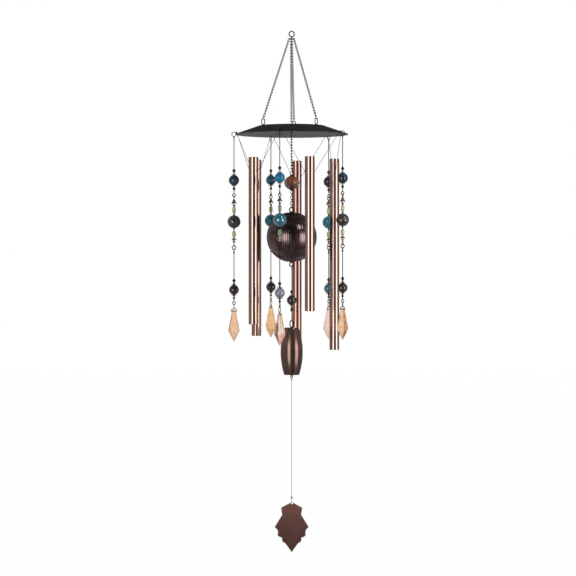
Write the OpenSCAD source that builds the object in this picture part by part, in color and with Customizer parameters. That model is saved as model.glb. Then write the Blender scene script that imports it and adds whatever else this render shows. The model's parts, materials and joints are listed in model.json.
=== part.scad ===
// Wind chime: a shallow metal canopy hung on three chains, five tuned tubes on
// cord slings, five strands of beads with faceted drops, and a striker line with
// a hollow ball, a barrel-shaped weight and a flat wind sail.
// Millimetres, +Z up. The origin is the centre of the eye of the hanging ring.
// +X is to the viewer's right and -Y is towards the viewer.

/* [Tubes] */
// Outside diameter of the chime tubes
tube_diameter = 19; // [17:0.5:20]
// Wall thickness of the chime tubes
tube_wall = 1.5; // [1:0.1:2]
// Length of the front left tube
tube_a_length = 323.5; // [300:0.5:340]
// Length of the back left tube
tube_b_length = 347.5; // [330:0.5:365]
// Length of the front right tube
tube_c_length = 297.5; // [280:0.5:315]
// Length of the back tube
tube_d_length = 400; // [380:0.5:415]
// Length of the right tube
tube_e_length = 374; // [355:0.5:385]

/* [Canopy] */
// Sheet thickness of the canopy
canopy_sheet = 1; // [0.8:0.1:1.2]
// Radius of the hole that the middle chain passes
canopy_centre_hole = 4.6; // [4.3:0.1:7]

/* [Striker line] */
// Largest radius of the striker ball
ball_radius = 48.95; // [48.6:0.05:49.2]
// Largest radius of the barrel weight
barrel_radius = 21.6; // [20:0.1:22]
// Plate thickness of the wind sail
sail_thickness = 1.2; // [0.8:0.1:1.6]

/* [Cords and wire] */
// Diameter of the braided cords
cord = 0.9; // [0.7:0.05:0.95]
// Wire diameter of the chain links
link_wire = 1.2; // [1:0.05:1.3]

/* [Hidden] */
$fn = 40;

BLACK = [0.07, 0.07, 0.07];
BRONZE = [0.36, 0.24, 0.2];
DARK_GREY = [0.2, 0.2, 0.2];
AMBER = [0.6, 0.3, 0.16];
BALL_BROWN = [0.2, 0.13, 0.11];
BARREL_BROWN = [0.22, 0.14, 0.12];
SAIL_BROWN = [0.45, 0.28, 0.25];
PLUM = [0.24, 0.08, 0.11];
NAVY = [0.16, 0.24, 0.36];
CHARCOAL = [0.2, 0.2, 0.19];
TEAL = [0.1, 0.42, 0.52];
MAROON = [0.26, 0.1, 0.14];
LILAC = [0.58, 0.58, 0.68];
PEACH = [0.97, 0.8, 0.66];

// the five places round the rim, as azimuths from +X
left_az = 186.3;
front_az = 258.3;
right_az = 330.3;
rear_right_az = 49.4;
rear_left_az = 111.4;

// ---------------------------------------------------------------- wire shapes

play = 0.1; // running play between two linked wires
link_gap = 0.15; // clearance between one chain link and the next

function unit(v) = v / norm(v);

// centre of an eye that hangs in another eye centred at z; each half height is
// taken to the middle of the wire, and each wire is a diameter
function hung_z(z, half, wire, next_half, next_wire) =
  z - half - next_half + (wire + next_wire) / 2 + play;

// rod between two points
module rod(start, end, radius) {
  v = end - start;
  length = norm(v);
  translate(start) rotate([0, acos(v[2] / length), atan2(v[1], v[0])])
    cylinder(r = radius, h = length);
}

// vertical rod on the Z axis
module upright(top, bottom, radius) translate([0, 0, bottom])
  cylinder(r = radius, h = top - bottom);

// upright ring in the XZ plane, radius to the middle of the wire
module ring_x(radius, wire) rotate([90, 0, 0]) rotate_extrude()
  translate([radius, 0]) circle(r = wire / 2);

// the same in the YZ plane
module ring_y(radius, wire) rotate([0, 0, 90]) ring_x(radius, wire);

// long link in the XZ plane: width and length over the wire
module link_x(width, length, wire) {
  r = (width - wire) / 2;
  straight = round((length - width) * 500) / 1000; // half the straight part
  rotate([90, 0, 0]) {
    translate([0, straight, 0]) rotate_extrude(angle = 180)
      translate([r, 0]) circle(r = wire / 2);
    translate([0, -straight, 0]) rotate([0, 0, 180]) rotate_extrude(angle = 180)
      translate([r, 0]) circle(r = wire / 2);
    for (x = [-r, r]) translate([x, -straight, 0]) rotate([-90, 0, 0])
      cylinder(r = wire / 2, h = 2 * straight);
  }
}

// the same in the YZ plane
module link_y(width, length, wire) rotate([0, 0, 90]) link_x(width, length, wire);

// Links first to last of a cable chain of count links. The chain runs from the
// middle of one wire to the middle of another, of radii start_r and end_r. The
// first link lies in the plane of the chain and side. Away from its ends the
// chain is turned by twist about its own line.
module chain(start, end, count, side, start_r, end_r, first, last, width = 5.2, twist = 45) {
  along = unit(end - start);
  across = unit(side - (side * along) * along);
  other = cross(along, across);
  pitch = (norm(end - start) + start_r + end_r + 2 * play - link_gap) / count;
  inner = pitch + link_gap; // length inside a link
  for (k = [first:last]) {
    c = start + along * (inner / 2 - start_r - play + (k - 1) * pitch);
    turn = twist * min(1, (k - 1) / 3, (count - k) / 3) + (k % 2 == 1 ? 0 : 90);
    a = across * cos(turn) + other * sin(turn);
    b = cross(-along, a);
    multmatrix([
      [a[0], b[0], -along[0], c[0]],
      [a[1], b[1], -along[1], c[1]],
      [a[2], b[2], -along[2], c[2]],
      [0, 0, 0, 1]
    ]) link_x(width, inner + 2 * link_wire, link_wire);
  }
}

// ---------------------------------------------------------------- bead shapes
// Each stands on the Z axis with its middle at z, and is bored through.

bore = 0.75; // radius
core = 0.45; // radius of the wire through the beads

module bead(z, radius) translate([0, 0, z]) difference() {
  sphere(r = radius);
  cylinder(r = bore, h = 3 * radius, center = true);
}

// long bead with rounded ends
module long_bead(z, radius, height) translate([0, 0, z]) rotate_extrude() polygon(concat(
  [[bore, -height / 2], [bore, height / 2]],
  [for (a = [70:-20:-70]) [
    radius * 0.42 + radius * 0.58 * cos(a),
    (height / 2 - radius * 0.5) * sign(a) + radius * 0.5 * sin(a) / sin(70)
  ]]
));

module bicone(z, width, height) translate([0, 0, z]) rotate_extrude() polygon([
  [bore, -height / 2], [bore, height / 2], [1.4, height / 2],
  [width / 2, 0.35], [width / 2, -0.35], [1.4, -height / 2]
]);

// flared cap on a bead centred at z, with a collar that reaches to end_z; it
// sits under the bead where end_z is below z
module cap(z, bead_r, width, end_z) {
  seat = bead_r + 0.15;
  rim = width / 2;
  end = abs(end_z - z);
  translate([0, 0, z]) mirror([0, 0, end_z > z ? 0 : 1]) rotate_extrude() polygon([
    [bore, seat], [2.4, seat], [rim, seat + 0.5], [rim, seat + 1.2],
    [2.6, seat + 1.5], [1.7, end], [bore, end]
  ]);
}

// small cone between two beads
module spacer(top, bottom, top_r, bottom_r) rotate_extrude()
  polygon([[bore, top], [top_r, top], [bottom_r, bottom], [bore, bottom]]);

// open cone-shaped cap, narrow end up
module cone_cap(z, width, height) {
  end = height / 2;
  translate([0, 0, z]) rotate_extrude() polygon([
    [bore, end], [1.5, end], [2.3, 1.6 - end], [width / 2, -end], [width / 2 - 0.7, -end],
    [1.7, 1 - end], [bore, 1 - end]
  ]);
}

// ---------------------------------------------------- hanging ring and canopy

hang_r = 5.1; // to the middle of the wire
hang_wire_r = 0.9;
hang_angle = 48; // below horizontal, where the round part ends
hang_tip_z = -hang_r / sin(hang_angle);

gather_z = -9.9;
gather_r = 5.6;
gather_wire_r = 0.65;
cross_wire_r = 0.6;
gather_link_wire = 1.1;

top_z = -179; // upper face of the flat top
top_r = 63.4;
rim_z = -195.5;
rim_r = 110.6;
slope = (top_z - rim_z) / (rim_r - top_r);
function skirt_z(r) = top_z - (r - top_r) * slope; // upper face of the skirt

chain_az = [85.6, 202.6, 322.6];
chain_links = [29, 30, 30];
eye_r = 60; // distance of the canopy eyes from the axis
eye_z = top_z + 6.6;
eye_length = 13;
eye_wire = 1.4;

ring_hole_r = 108.9; // hole for a strand's jump ring
sling_hole_r = 107.4; // hole for a sling's cord
sling_step = 1.8; // degrees between those two holes

// teardrop wire eye: round above, drawn to a V below
module hang_ring() color(BLACK) {
  tip = [0, 0, hang_tip_z];
  rotate([90, 0, 0]) rotate([0, 0, -hang_angle]) rotate_extrude(angle = 180 + 2 * hang_angle)
    translate([hang_r, 0]) circle(r = hang_wire_r);
  for (s = [-1, 1]) {
    shoulder = [s * hang_r * cos(hang_angle), 0, -hang_r * sin(hang_angle)];
    along = unit(tip - shoulder);
    rod(shoulder + along * 0.2, tip - along * 0.3, hang_wire_r);
    translate(shoulder + along * 0.1) sphere(r = hang_wire_r * 1.06);
  }
  translate(tip) sphere(r = hang_wire_r * 1.12);
}

// link that joins the hanging ring to the cross wire of the gather ring
module gather_link() color(BLACK) {
  top = hang_tip_z + 2.15;
  bottom = gather_z - gather_wire_r - gather_link_wire / 2 - 0.2;
  translate([0, 0, (top + bottom) / 2])
    link_y(5.4, top - bottom + gather_link_wire, gather_link_wire);
}

// flat gather ring with its cross wire, and the three eyes of the canopy
module canopy_rings() color(BLACK) {
  underside = top_z - canopy_sheet;
  translate([0, 0, gather_z]) {
    rotate_extrude() translate([gather_r, 0]) circle(r = gather_wire_r);
    translate([-gather_r, 0, 0]) rotate([0, 90, 0]) cylinder(r = cross_wire_r, h = 2 * gather_r);
  }
  for (i = [0:2]) rotate([0, 0, chain_az[i]]) translate([eye_r, 0, 0])
    rotate([0, 0, i == 0 ? 90 : 0]) {
      translate([0, 0, eye_z]) link_x(7.6, eye_length, eye_wire);
      translate([0, 0, underside - 1.2]) cylinder(r = 1, h = canopy_sheet + 2);
      translate([0, 0, underside - 1.4]) cylinder(r = 2, h = 1.3);
    }
}

// three suspension chains, and the middle chain down to the canopy
module canopy_chains() color(BLACK) {
  for (i = [0:2]) {
    outward = [cos(chain_az[i]), sin(chain_az[i]), 0];
    chain(
      outward * gather_r + [0, 0, gather_z],
      outward * eye_r + [0, 0, eye_z + (eye_length - eye_wire) / 2],
      chain_links[i], outward, gather_wire_r, eye_wire / 2, first = 1, last = chain_links[i]
    );
  }
  centre_chain(1, centre_split);
}

module sheet_hole(azimuth, distance, z, radius) rotate([0, 0, azimuth])
  translate([distance, 0, z - 5]) cylinder(r = radius, h = 10);

module canopy_dish() color(DARK_GREY) difference() {
  rotate_extrude() polygon([
    [canopy_centre_hole, top_z], [top_r, top_z], [rim_r, rim_z],
    [rim_r - 0.3, rim_z - canopy_sheet * 0.95], [top_r - 0.2, top_z - canopy_sheet],
    [canopy_centre_hole, top_z - canopy_sheet]
  ]);
  for (a = chain_az) sheet_hole(a, eye_r, top_z, 1.1);
  for (a = [left_az, front_az, right_az, rear_right_az, rear_left_az]) {
    sheet_hole(a, ring_hole_r, rim_z, 0.95);
    for (s = [-1, 1]) sheet_hole(a + s * sling_step, sling_hole_r, rim_z, 1.2);
  }
}

// --------------------------------------------------------------- striker line

// eyes: z of the centre, radius to the middle of the wire, wire diameter
amber_z = -290.4;
amber_wire = 1.1;
amber_eye_z = -271.6;
amber_eye_r = 3.55;
amber_low_z = -309.2;
amber_low_r = 2.6;

// half profile, from the upper end down: [radius, height over the middle]
AMBER_PROFILE = [
  [0, 13.6], [4.5, 13.2], [10.6, 9.8], [14.8, 4.2], [15.8, -0.6],
  [14, -5.8], [9.4, -10.9], [4, -13.4], [0, -13.6]
];

centre_top = [-1.3, 0, gather_z];
centre_end = [0, 0, amber_eye_z + amber_eye_r];
centre_links = 45;
centre_split = 30; // links above the hole of the canopy

ball_z = -396.6;
ball_half_height = 48.15; // over the two small flats
ball_wall = 1.9;
ball_eye_wire = 1.8;
ball_eye_z = -343;
ball_eye_r = 4.4;
ball_low_z = -450;
ball_low_r = 4.1;

tail_ring_r = 2;
tail_ring_wire = 1.1;
tail_top_z = hung_z(ball_low_z, ball_low_r, ball_eye_wire, tail_ring_r, tail_ring_wire);
tail_low_z = -559.25;
tail_bead_z = -520;
tail_bead_r = 9.4;

barrel_top = -573.3;
barrel_bottom = -665.7;
barrel_widest_z = -621;
barrel_arc = 147; // radius of the bulging side
barrel_wall = 1.8;
barrel_end = 2.5; // thickness of the ends
barrel_eye_length = 14;
barrel_eye_wire = 1.6;
barrel_eye_z = hung_z(tail_low_z, tail_ring_r, tail_ring_wire,
  (barrel_eye_length - barrel_eye_wire) / 2, barrel_eye_wire);
barrel_low_z = -668.65;
barrel_low_r = 2.1;
barrel_low_wire = 1.3;
line_hole_r = 1.9; // rod holes of the ball and the barrel

sail_cord_r = 1.9;
sail_cord_wire = 1;
sail_cord_z = hung_z(barrel_low_z, barrel_low_r, barrel_low_wire, sail_cord_r, sail_cord_wire);
sail_ring_z = -906.1;
sail_ring_r = 1.5;
sail_ring_wire = 1.1;
sail_link_length = 9.8;
sail_link_wire = 1;
sail_link_z = hung_z(sail_ring_z, sail_ring_r, sail_ring_wire,
  (sail_link_length - sail_link_wire) / 2, sail_link_wire);
sail_top = -913.8;
sail_height = 98;

// half outline of the sail between its two tips: [half width, drop below the apex]
SAIL = [
  [20.7, 11.4], [18.5, 25], [33.2, 49], [27.5, 56], [26.5, 60.3], [27.7, 65.2],
  [23.4, 68.1], [18.9, 69.8], [18.3, 74.9], [16.8, 78.2], [12.3, 81.3]
];

// links first to last of the chain from the gather ring to the amber bead
module centre_chain(first, last) chain(
  centre_top, centre_end, centre_links, [0, 1, 0], cross_wire_r, amber_wire / 2, first, last
);

module clapper_chain() color(BLACK) centre_chain(centre_split + 1, centre_links);

module amber_bead() color(AMBER) difference() {
  translate([0, 0, amber_z]) rotate_extrude($fn = 12) polygon(AMBER_PROFILE);
  translate([0, 0, amber_z]) cylinder(r = 0.9, h = 40, center = true);
}

// wire with an eye at both ends through the amber bead, its two cups, and the
// short chain to the ball
module amber_chain() color(BLACK) {
  translate([0, 0, amber_eye_z]) ring_x(amber_eye_r, amber_wire);
  upright(amber_eye_z - 3.5, amber_low_z + 2.3, amber_wire / 2);
  translate([0, 0, amber_low_z]) ring_x(amber_low_r, amber_wire);
  for (s = [-1, 1]) translate([0, 0, amber_z]) mirror([0, 0, s > 0 ? 0 : 1])
    rotate_extrude() polygon([[0.8, 13.9], [4.6, 13.5], [5, 13.7], [2, 15], [0.8, 15]]);
  chain(
    [0, 0, amber_low_z - amber_low_r], [0, 0, ball_eye_z + ball_eye_r], 5, [0, 1, 0],
    amber_wire / 2, ball_eye_wire / 2, first = 1, last = 5, width = 6.6, twist = 0
  );
}

// hollow ball with a small flat above and below
module striker_ball() color(BALL_BROWN) translate([0, 0, ball_z]) difference() {
  intersection() {
    sphere(r = ball_radius);
    cylinder(r = ball_radius + 5, h = 2 * ball_half_height, center = true);
  }
  sphere(r = ball_radius - ball_wall);
  cylinder(r = line_hole_r, h = 2 * ball_radius, center = true);
}

module ball_eye_rod() color(BLACK) {
  translate([0, 0, ball_eye_z]) ring_x(ball_eye_r, ball_eye_wire);
  upright(ball_eye_z - ball_eye_r, -446.2, 1.5);
  translate([0, 0, ball_low_z]) ring_x(ball_low_r, ball_eye_wire);
}

// cord with a capped bead between two bicones
module tail_cord() color(BLACK) {
  translate([0, 0, tail_top_z]) ring_y(tail_ring_r, tail_ring_wire);
  upright(-457, -556.9, 0.5);
  translate([0, 0, tail_low_z]) ring_y(tail_ring_r, tail_ring_wire);
  bicone(-503.7, width = 7, height = 7);
  cap(tail_bead_z, tail_bead_r, width = 11.5, end_z = -507.5);
  color(PLUM) bead(tail_bead_z, tail_bead_r);
  cap(tail_bead_z, tail_bead_r, width = 11.5, end_z = -533.4);
  bicone(-538.2, width = 6.4, height = 8.6);
}

// solid barrel, its side drawn in by wall and its ends by inset
module barrel_solid(wall, inset) rotate_extrude() intersection() {
  translate([barrel_radius - barrel_arc, barrel_widest_z])
    circle(r = barrel_arc - wall, $fn = 240);
  translate([0, barrel_bottom + inset]) square([40, barrel_top - barrel_bottom - 2 * inset]);
}

module barrel_weight() color(BARREL_BROWN) difference() {
  barrel_solid(0, 0);
  barrel_solid(barrel_wall, barrel_end);
  translate([0, 0, barrel_bottom - 1]) cylinder(r = line_hole_r, h = 100);
}

module barrel_eye_rod() color(BLACK) {
  translate([0, 0, barrel_eye_z]) link_x(8, barrel_eye_length, barrel_eye_wire);
  upright(-572, -666.9, 1.5);
  translate([0, 0, barrel_low_z]) ring_x(barrel_low_r, barrel_low_wire);
}

// cord with a ring at each end and a knot near the upper one
module sail_cord() color(BLACK) {
  translate([0, 0, sail_cord_z]) ring_y(sail_cord_r, sail_cord_wire);
  upright(-673.2, -904.8, cord / 2);
  translate([0, 0, -674.9]) sphere(r = 1.3);
  translate([0, 0, sail_ring_z]) ring_x(sail_ring_r, sail_ring_wire);
}

// flat sail in the XZ plane, and the link that carries it
module wind_sail() {
  color(SAIL_BROWN) translate([0, sail_thickness / 2, sail_top]) rotate([90, 0, 0])
    linear_extrude(sail_thickness) difference() {
      polygon(concat(
        [[0, 0]], [for (p = SAIL) [p[0], -p[1]]], [[0, -sail_height]],
        [for (i = [len(SAIL) - 1:-1:0]) [-SAIL[i][0], -SAIL[i][1]]]
      ));
      translate([0, -2.6]) circle(r = 1.9);
    }
  color(BLACK) translate([0, 0, sail_link_z]) link_y(4.6, sail_link_length, sail_link_wire);
}

// ----------------------------------------------------------- tubes and slings

tube_top = -243;
tube_hole_z = tube_top - 30;
tube_hole_r = 1.1;
crossing_z = tube_hole_z + tube_hole_r - cord / 2 - play; // cord across the tube

// [azimuths of the two places it hangs between, shift along their chord]
TUBE_A = [left_az, front_az, -12.1];
TUBE_B = [rear_left_az, left_az, -10.2];
TUBE_C = [front_az, right_az, -2.2];
TUBE_D = [rear_right_az, rear_left_az, 5.4];
TUBE_E = [right_az - 360, rear_right_az, 0];

// half the angle between the two cord holes
function half_angle(place) = (place[1] - place[0]) / 2 - sling_step;

// frame of a tube: X outward, Y along the chord between its cord holes
module at_tube(place) rotate([0, 0, (place[0] + place[1]) / 2])
  translate([sling_hole_r * cos(half_angle(place)), place[2], 0]) children();

module tube(place, length) color(BRONZE) at_tube(place) difference() {
  radius = tube_diameter / 2;
  translate([0, 0, tube_top - length]) cylinder(r = radius, h = length);
  translate([0, 0, tube_top - length - 1]) cylinder(r = radius - tube_wall, h = length + 2);
  translate([0, 0, tube_hole_z]) rotate([90, 0, 0])
    cylinder(r = tube_hole_r, h = 40, center = true);
}

// one cord: down through its hole in the skirt, across the tube, and back up
module sling(place) color(BLACK) at_tube(place) {
  half_chord = sling_hole_r * sin(half_angle(place));
  hole_z = skirt_z(sling_hole_r) - canopy_sheet / 2;
  reach = tube_diameter / 2 + 0.9;
  for (s = [-1, 1]) {
    hole = [0, s * half_chord - place[2], hole_z];
    corner = [0, s * reach, crossing_z];
    knot = hole + unit(hole - corner) * 2.8;
    rod(corner, knot, cord / 2);
    translate(knot) sphere(r = 1.5);
    translate(corner) sphere(r = cord / 2 + 0.05);
  }
  rod([0, -reach, crossing_z], [0, reach, crossing_z], cord / 2);
}

// -------------------------------------------------------------------- strands

// columns of the strand tables; the shifts are upward
AZIMUTH = 0;
SHIFT = 1; // of the upper and middle lengths
LOWER_SHIFT = 2; // of the lower length
UPPER_R = 3; // bead radii
MIDDLE_R = 4;
LOWER_R = 5;
UPPER_COLOR = 6;
MIDDLE_COLOR = 7;
LOWER_COLOR = 8;

LEFT = [left_az, 0, 0, 10.2, 12.7, 9.6, NAVY, CHARCOAL, MAROON];
FRONT = [front_az, 1, -6, 9.9, 12.9, 9.7, TEAL, TEAL, LILAC];
RIGHT = [right_az, 2.5, 4, 10.4, 12.4, 9.5, NAVY, CHARCOAL, MAROON];
REAR_RIGHT = [rear_right_az, 1.2, 2.3, 10.3, 12.3, 9.3, NAVY, TEAL, TEAL];
REAR_LEFT = [rear_left_az, 5.2, 5.5, 9.8, 12.2, 9.5, TEAL, TEAL, NAVY];

strand_r = 113.1; // where the strands hang
strand_wire = 1.2; // of the rings down to the middle length
end_ring_r = 2.9; // rings that join the upper and middle lengths
small_wire = 1.1; // of the rings on the lower length and the drop
upper_cord_r = 0.7; // cord above the upper bead
lower_cord_r = 0.6; // cord between the middle and lower beads

jump_ring_z = -196.6;
jump_ring_r = 4.4;
upper_z = -286.2; // middles of the three round beads
middle_z = -366.9;
lower_z = -499.6;
middle_low_z = -412.3; // ring that ends the middle length
join_r = 3.65;
join_z = hung_z(middle_low_z, end_ring_r, strand_wire, join_r, strand_wire);
lower_eye_r = 1.6;
lower_eye_z = hung_z(join_z, join_r, strand_wire, lower_eye_r, small_wire);

drop_ring_z = -525.1;
drop_ring_r = 2.95;
drop_link_length = 10.5;
drop_link_wire = 1;
drop_link_z = hung_z(drop_ring_z, drop_ring_r, small_wire,
  (drop_link_length - drop_link_wire) / 2, drop_link_wire);
drop_tip_z = -600.4;

// half of the wire bail, from its peak to its cross pin: [x, z]
BAIL = [[0, -535.1], [4.9, -538.1], [4.9, -541.5]];
bail_r = 0.45; // wire radius
pin_x = BAIL[2][0];
pin_z = BAIL[2][1];

// half profile of the drop: [radius, height over the tip]
DROP_PROFILE = [
  [0, 0], [0.5, 0.6], [7.7, 14.4], [11, 21.9], [10.6, 25],
  [9.5, 29.5], [6.8, 43.5], [4.3, 57.4], [3.3, 61.9], [0, 62.3]
];

module at_strand(strand) rotate([0, 0, strand[AZIMUTH]])
  translate([strand_r, 0, 0]) children();

module upper_findings(strand) color(BLACK) at_strand(strand) {
  translate([0, 0, jump_ring_z]) ring_x(jump_ring_r, strand_wire);
  upright(jump_ring_z - jump_ring_r, -263.6 + strand[SHIFT], upper_cord_r);
  translate([0, 0, strand[SHIFT]]) {
    upright(-263.5, -312.5, core);
    translate([0, 0, -315]) ring_x(end_ring_r, strand_wire);
    bicone(-267.7, width = 7.4, height = 7.4);
    cap(upper_z, strand[UPPER_R], width = 11.8, end_z = -271.6);
    cap(upper_z, strand[UPPER_R], width = 11.8, end_z = -299);
    bicone(-302.7, width = 6.2, height = 7);
  }
}

module upper_bead(strand) color(strand[UPPER_COLOR]) at_strand(strand)
  bead(upper_z + strand[SHIFT], strand[UPPER_R]);

module middle_findings(strand) color(BLACK) at_strand(strand)
  translate([0, 0, strand[SHIFT]]) {
    seat = strand[MIDDLE_R] + 0.25; // from the bead's middle to a spacer
    translate([0, 0, -319.45]) ring_y(end_ring_r, strand_wire);
    upright(-322, -409.8, core);
    translate([0, 0, middle_low_z]) ring_y(end_ring_r, strand_wire);
    cone_cap(-327.9, width = 10.6, height = 8.8);
    spacer(-351, middle_z + seat, 1.5, 2.3);
    spacer(middle_z - seat, -384.8, 2.3, 1.5);
    cone_cap(-400.6, width = 10.8, height = 4.4);
    bead(-405.5, 2.6);
  }

module middle_beads(strand) color(strand[MIDDLE_COLOR]) at_strand(strand)
  translate([0, 0, strand[SHIFT]]) {
    bead(-335.4, 2.4);
    long_bead(-344.4, radius = 3.6, height = 12.4);
    bead(middle_z, strand[MIDDLE_R]);
    long_bead(-391.2, radius = 3.6, height = 12.4);
  }

module lower_findings(strand) color(BLACK) at_strand(strand) {
  translate([0, 0, strand[SHIFT]]) {
    translate([0, 0, join_z]) ring_x(join_r, strand_wire);
    translate([0, 0, lower_eye_z]) ring_y(lower_eye_r, small_wire);
    difference() {
      translate([0, 0, -429]) cylinder(r = 1.5, h = 4.8);
      translate([0, 0, -430]) cylinder(r = bore, h = 7);
    }
  }
  upright(-423.1 + strand[SHIFT], -519.8 + strand[LOWER_SHIFT], lower_cord_r);
  translate([0, 0, strand[LOWER_SHIFT]]) {
    bicone(-481.8, width = 7, height = 8);
    cap(lower_z, strand[LOWER_R], width = 12, end_z = -486.1);
    cap(lower_z, strand[LOWER_R], width = 12, end_z = -512.6);
    bicone(-515.6, width = 5.6, height = 5);
    translate([0, 0, -521.5]) ring_y(1.9, small_wire);
  }
}

module lower_bead(strand) color(strand[LOWER_COLOR]) at_strand(strand)
  bead(lower_z + strand[LOWER_SHIFT], strand[LOWER_R]);

// jump ring, link, wire bail and an eight-sided icicle
module drop(strand) at_strand(strand) translate([0, 0, strand[LOWER_SHIFT]]) {
  color(BLACK) {
    translate([0, 0, drop_ring_z]) ring_x(drop_ring_r, small_wire);
    translate([0, 0, drop_link_z]) link_y(4.6, drop_link_length, drop_link_wire);
    for (s = [-1, 1]) {
      points = [for (p = BAIL) [s * p[0], 0, p[1]]];
      for (i = [0, 1]) rod(points[i], points[i + 1], bail_r);
      for (i = [1, 2]) translate(points[i]) sphere(r = 0.52);
    }
    translate([0, 0, BAIL[0][1]]) sphere(r = 0.52);
    rod([-pin_x, 0, pin_z], [pin_x, 0, pin_z], bail_r);
  }
  color(PEACH) difference() {
    translate([0, 0, drop_tip_z]) rotate_extrude($fn = 8) polygon(DROP_PROFILE);
    translate([0, 0, pin_z]) rotate([0, 90, 0]) cylinder(r = 0.8, h = 30, center = true);
  }
}

hang_ring();
gather_link();
canopy_chains();
canopy_rings();
canopy_dish();
clapper_chain();
amber_bead();
amber_chain();
striker_ball();
ball_eye_rod();
tail_cord();
barrel_weight();
barrel_eye_rod();
sail_cord();
wind_sail();
tube(TUBE_A, tube_a_length);  // tube_a
tube(TUBE_B, tube_b_length);  // tube_b
tube(TUBE_C, tube_c_length);  // tube_c
tube(TUBE_D, tube_d_length);  // tube_d
tube(TUBE_E, tube_e_length);  // tube_e
sling(TUBE_A);  // sling_a
sling(TUBE_B);  // sling_b
sling(TUBE_C);  // sling_c
sling(TUBE_D);  // sling_d
sling(TUBE_E);  // sling_e
upper_findings(LEFT);  // strand_left_upper_findings
upper_bead(LEFT);  // strand_left_upper_bead
middle_findings(LEFT);  // strand_left_middle_findings
middle_beads(LEFT);  // strand_left_middle_beads
lower_findings(LEFT);  // strand_left_lower_findings
lower_bead(LEFT);  // strand_left_lower_bead
drop(LEFT);  // strand_left_drop
upper_findings(FRONT);  // strand_front_upper_findings
upper_bead(FRONT);  // strand_front_upper_bead
middle_findings(FRONT);  // strand_front_middle_findings
middle_beads(FRONT);  // strand_front_middle_beads
lower_findings(FRONT);  // strand_front_lower_findings
lower_bead(FRONT);  // strand_front_lower_bead
drop(FRONT);  // strand_front_drop
upper_findings(RIGHT);  // strand_right_upper_findings
upper_bead(RIGHT);  // strand_right_upper_bead
middle_findings(RIGHT);  // strand_right_middle_findings
middle_beads(RIGHT);  // strand_right_middle_beads
lower_findings(RIGHT);  // strand_right_lower_findings
lower_bead(RIGHT);  // strand_right_lower_bead
drop(RIGHT);  // strand_right_drop
upper_findings(REAR_RIGHT);  // strand_rear_right_upper_findings
upper_bead(REAR_RIGHT);  // strand_rear_right_upper_bead
middle_findings(REAR_RIGHT);  // strand_rear_right_middle_findings
middle_beads(REAR_RIGHT);  // strand_rear_right_middle_beads
lower_findings(REAR_RIGHT);  // strand_rear_right_lower_findings
lower_bead(REAR_RIGHT);  // strand_rear_right_lower_bead
drop(REAR_RIGHT);  // strand_rear_right_drop
upper_findings(REAR_LEFT);  // strand_rear_left_upper_findings
upper_bead(REAR_LEFT);  // strand_rear_left_upper_bead
middle_findings(REAR_LEFT);  // strand_rear_left_middle_findings
middle_beads(REAR_LEFT);  // strand_rear_left_middle_beads
lower_findings(REAR_LEFT);  // strand_rear_left_lower_findings
lower_bead(REAR_LEFT);  // strand_rear_left_lower_bead
drop(REAR_LEFT);  // strand_rear_left_drop
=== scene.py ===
"""Wind chime: five tubes and five beaded strands around a middle line.

It hangs down the Z axis from a ring near the origin, so heights are negative.
The camera looks along +Y. Shapes are in millimetres, and MM turns them into metres.
"""
import bpy
import json
import math
import random

from mathutils import Matrix, Vector


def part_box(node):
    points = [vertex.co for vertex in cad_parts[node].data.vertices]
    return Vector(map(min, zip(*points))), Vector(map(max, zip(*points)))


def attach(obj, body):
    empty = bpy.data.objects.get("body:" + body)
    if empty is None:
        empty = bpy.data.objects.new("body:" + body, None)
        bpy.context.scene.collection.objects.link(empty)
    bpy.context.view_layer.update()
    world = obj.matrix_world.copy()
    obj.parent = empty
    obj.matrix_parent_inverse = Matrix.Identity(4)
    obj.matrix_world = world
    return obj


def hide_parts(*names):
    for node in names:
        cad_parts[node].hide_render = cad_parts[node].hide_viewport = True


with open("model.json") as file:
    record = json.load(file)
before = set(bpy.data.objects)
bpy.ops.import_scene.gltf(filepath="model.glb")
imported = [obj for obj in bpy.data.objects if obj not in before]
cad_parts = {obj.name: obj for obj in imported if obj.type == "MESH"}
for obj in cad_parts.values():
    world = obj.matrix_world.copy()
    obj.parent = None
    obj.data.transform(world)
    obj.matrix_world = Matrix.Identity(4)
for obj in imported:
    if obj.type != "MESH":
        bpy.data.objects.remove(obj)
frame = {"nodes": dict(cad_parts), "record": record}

MM = 0.001
PI = math.pi
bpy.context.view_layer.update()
node_body = {node: body for body, members in frame["record"]["behaviour"]["bodies"].items()
             for node in members}

# Chains: three run out to the canopy's rim and one down the middle.
CHAIN_TOP = -9.9
RIM_CHAIN_LOW = -166.6
RIM_CHAIN_IN, RIM_CHAIN_OUT = 5.6, 60     # distance from the axis, top and bottom
RIM_LINKS = 30
RIM_BEARINGS = (0.65, 0.7)                # wire radius that the first and last links bear on
MIDDLE_BEARINGS = (0.6, 0.55)
LINK_WIDTH, LINK_WIRE = 5.2, 1.2
LINK_PLAY = 0.1
LINK_SLACK = 0.15                         # inner length of a link beyond the pitch

FLUTES = 60                               # fine grooves round the striker ball


def low(node):
    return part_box(node)[0] / MM


def high(node):
    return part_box(node)[1] / MM


def centre(node):
    return (low(node) + high(node)) / 2


def link_pitch(length, links, bearings):
    return (length + sum(bearings) + 2 * LINK_PLAY - LINK_SLACK) / links


# ------------------------------------------------------------------ shader helpers

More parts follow.
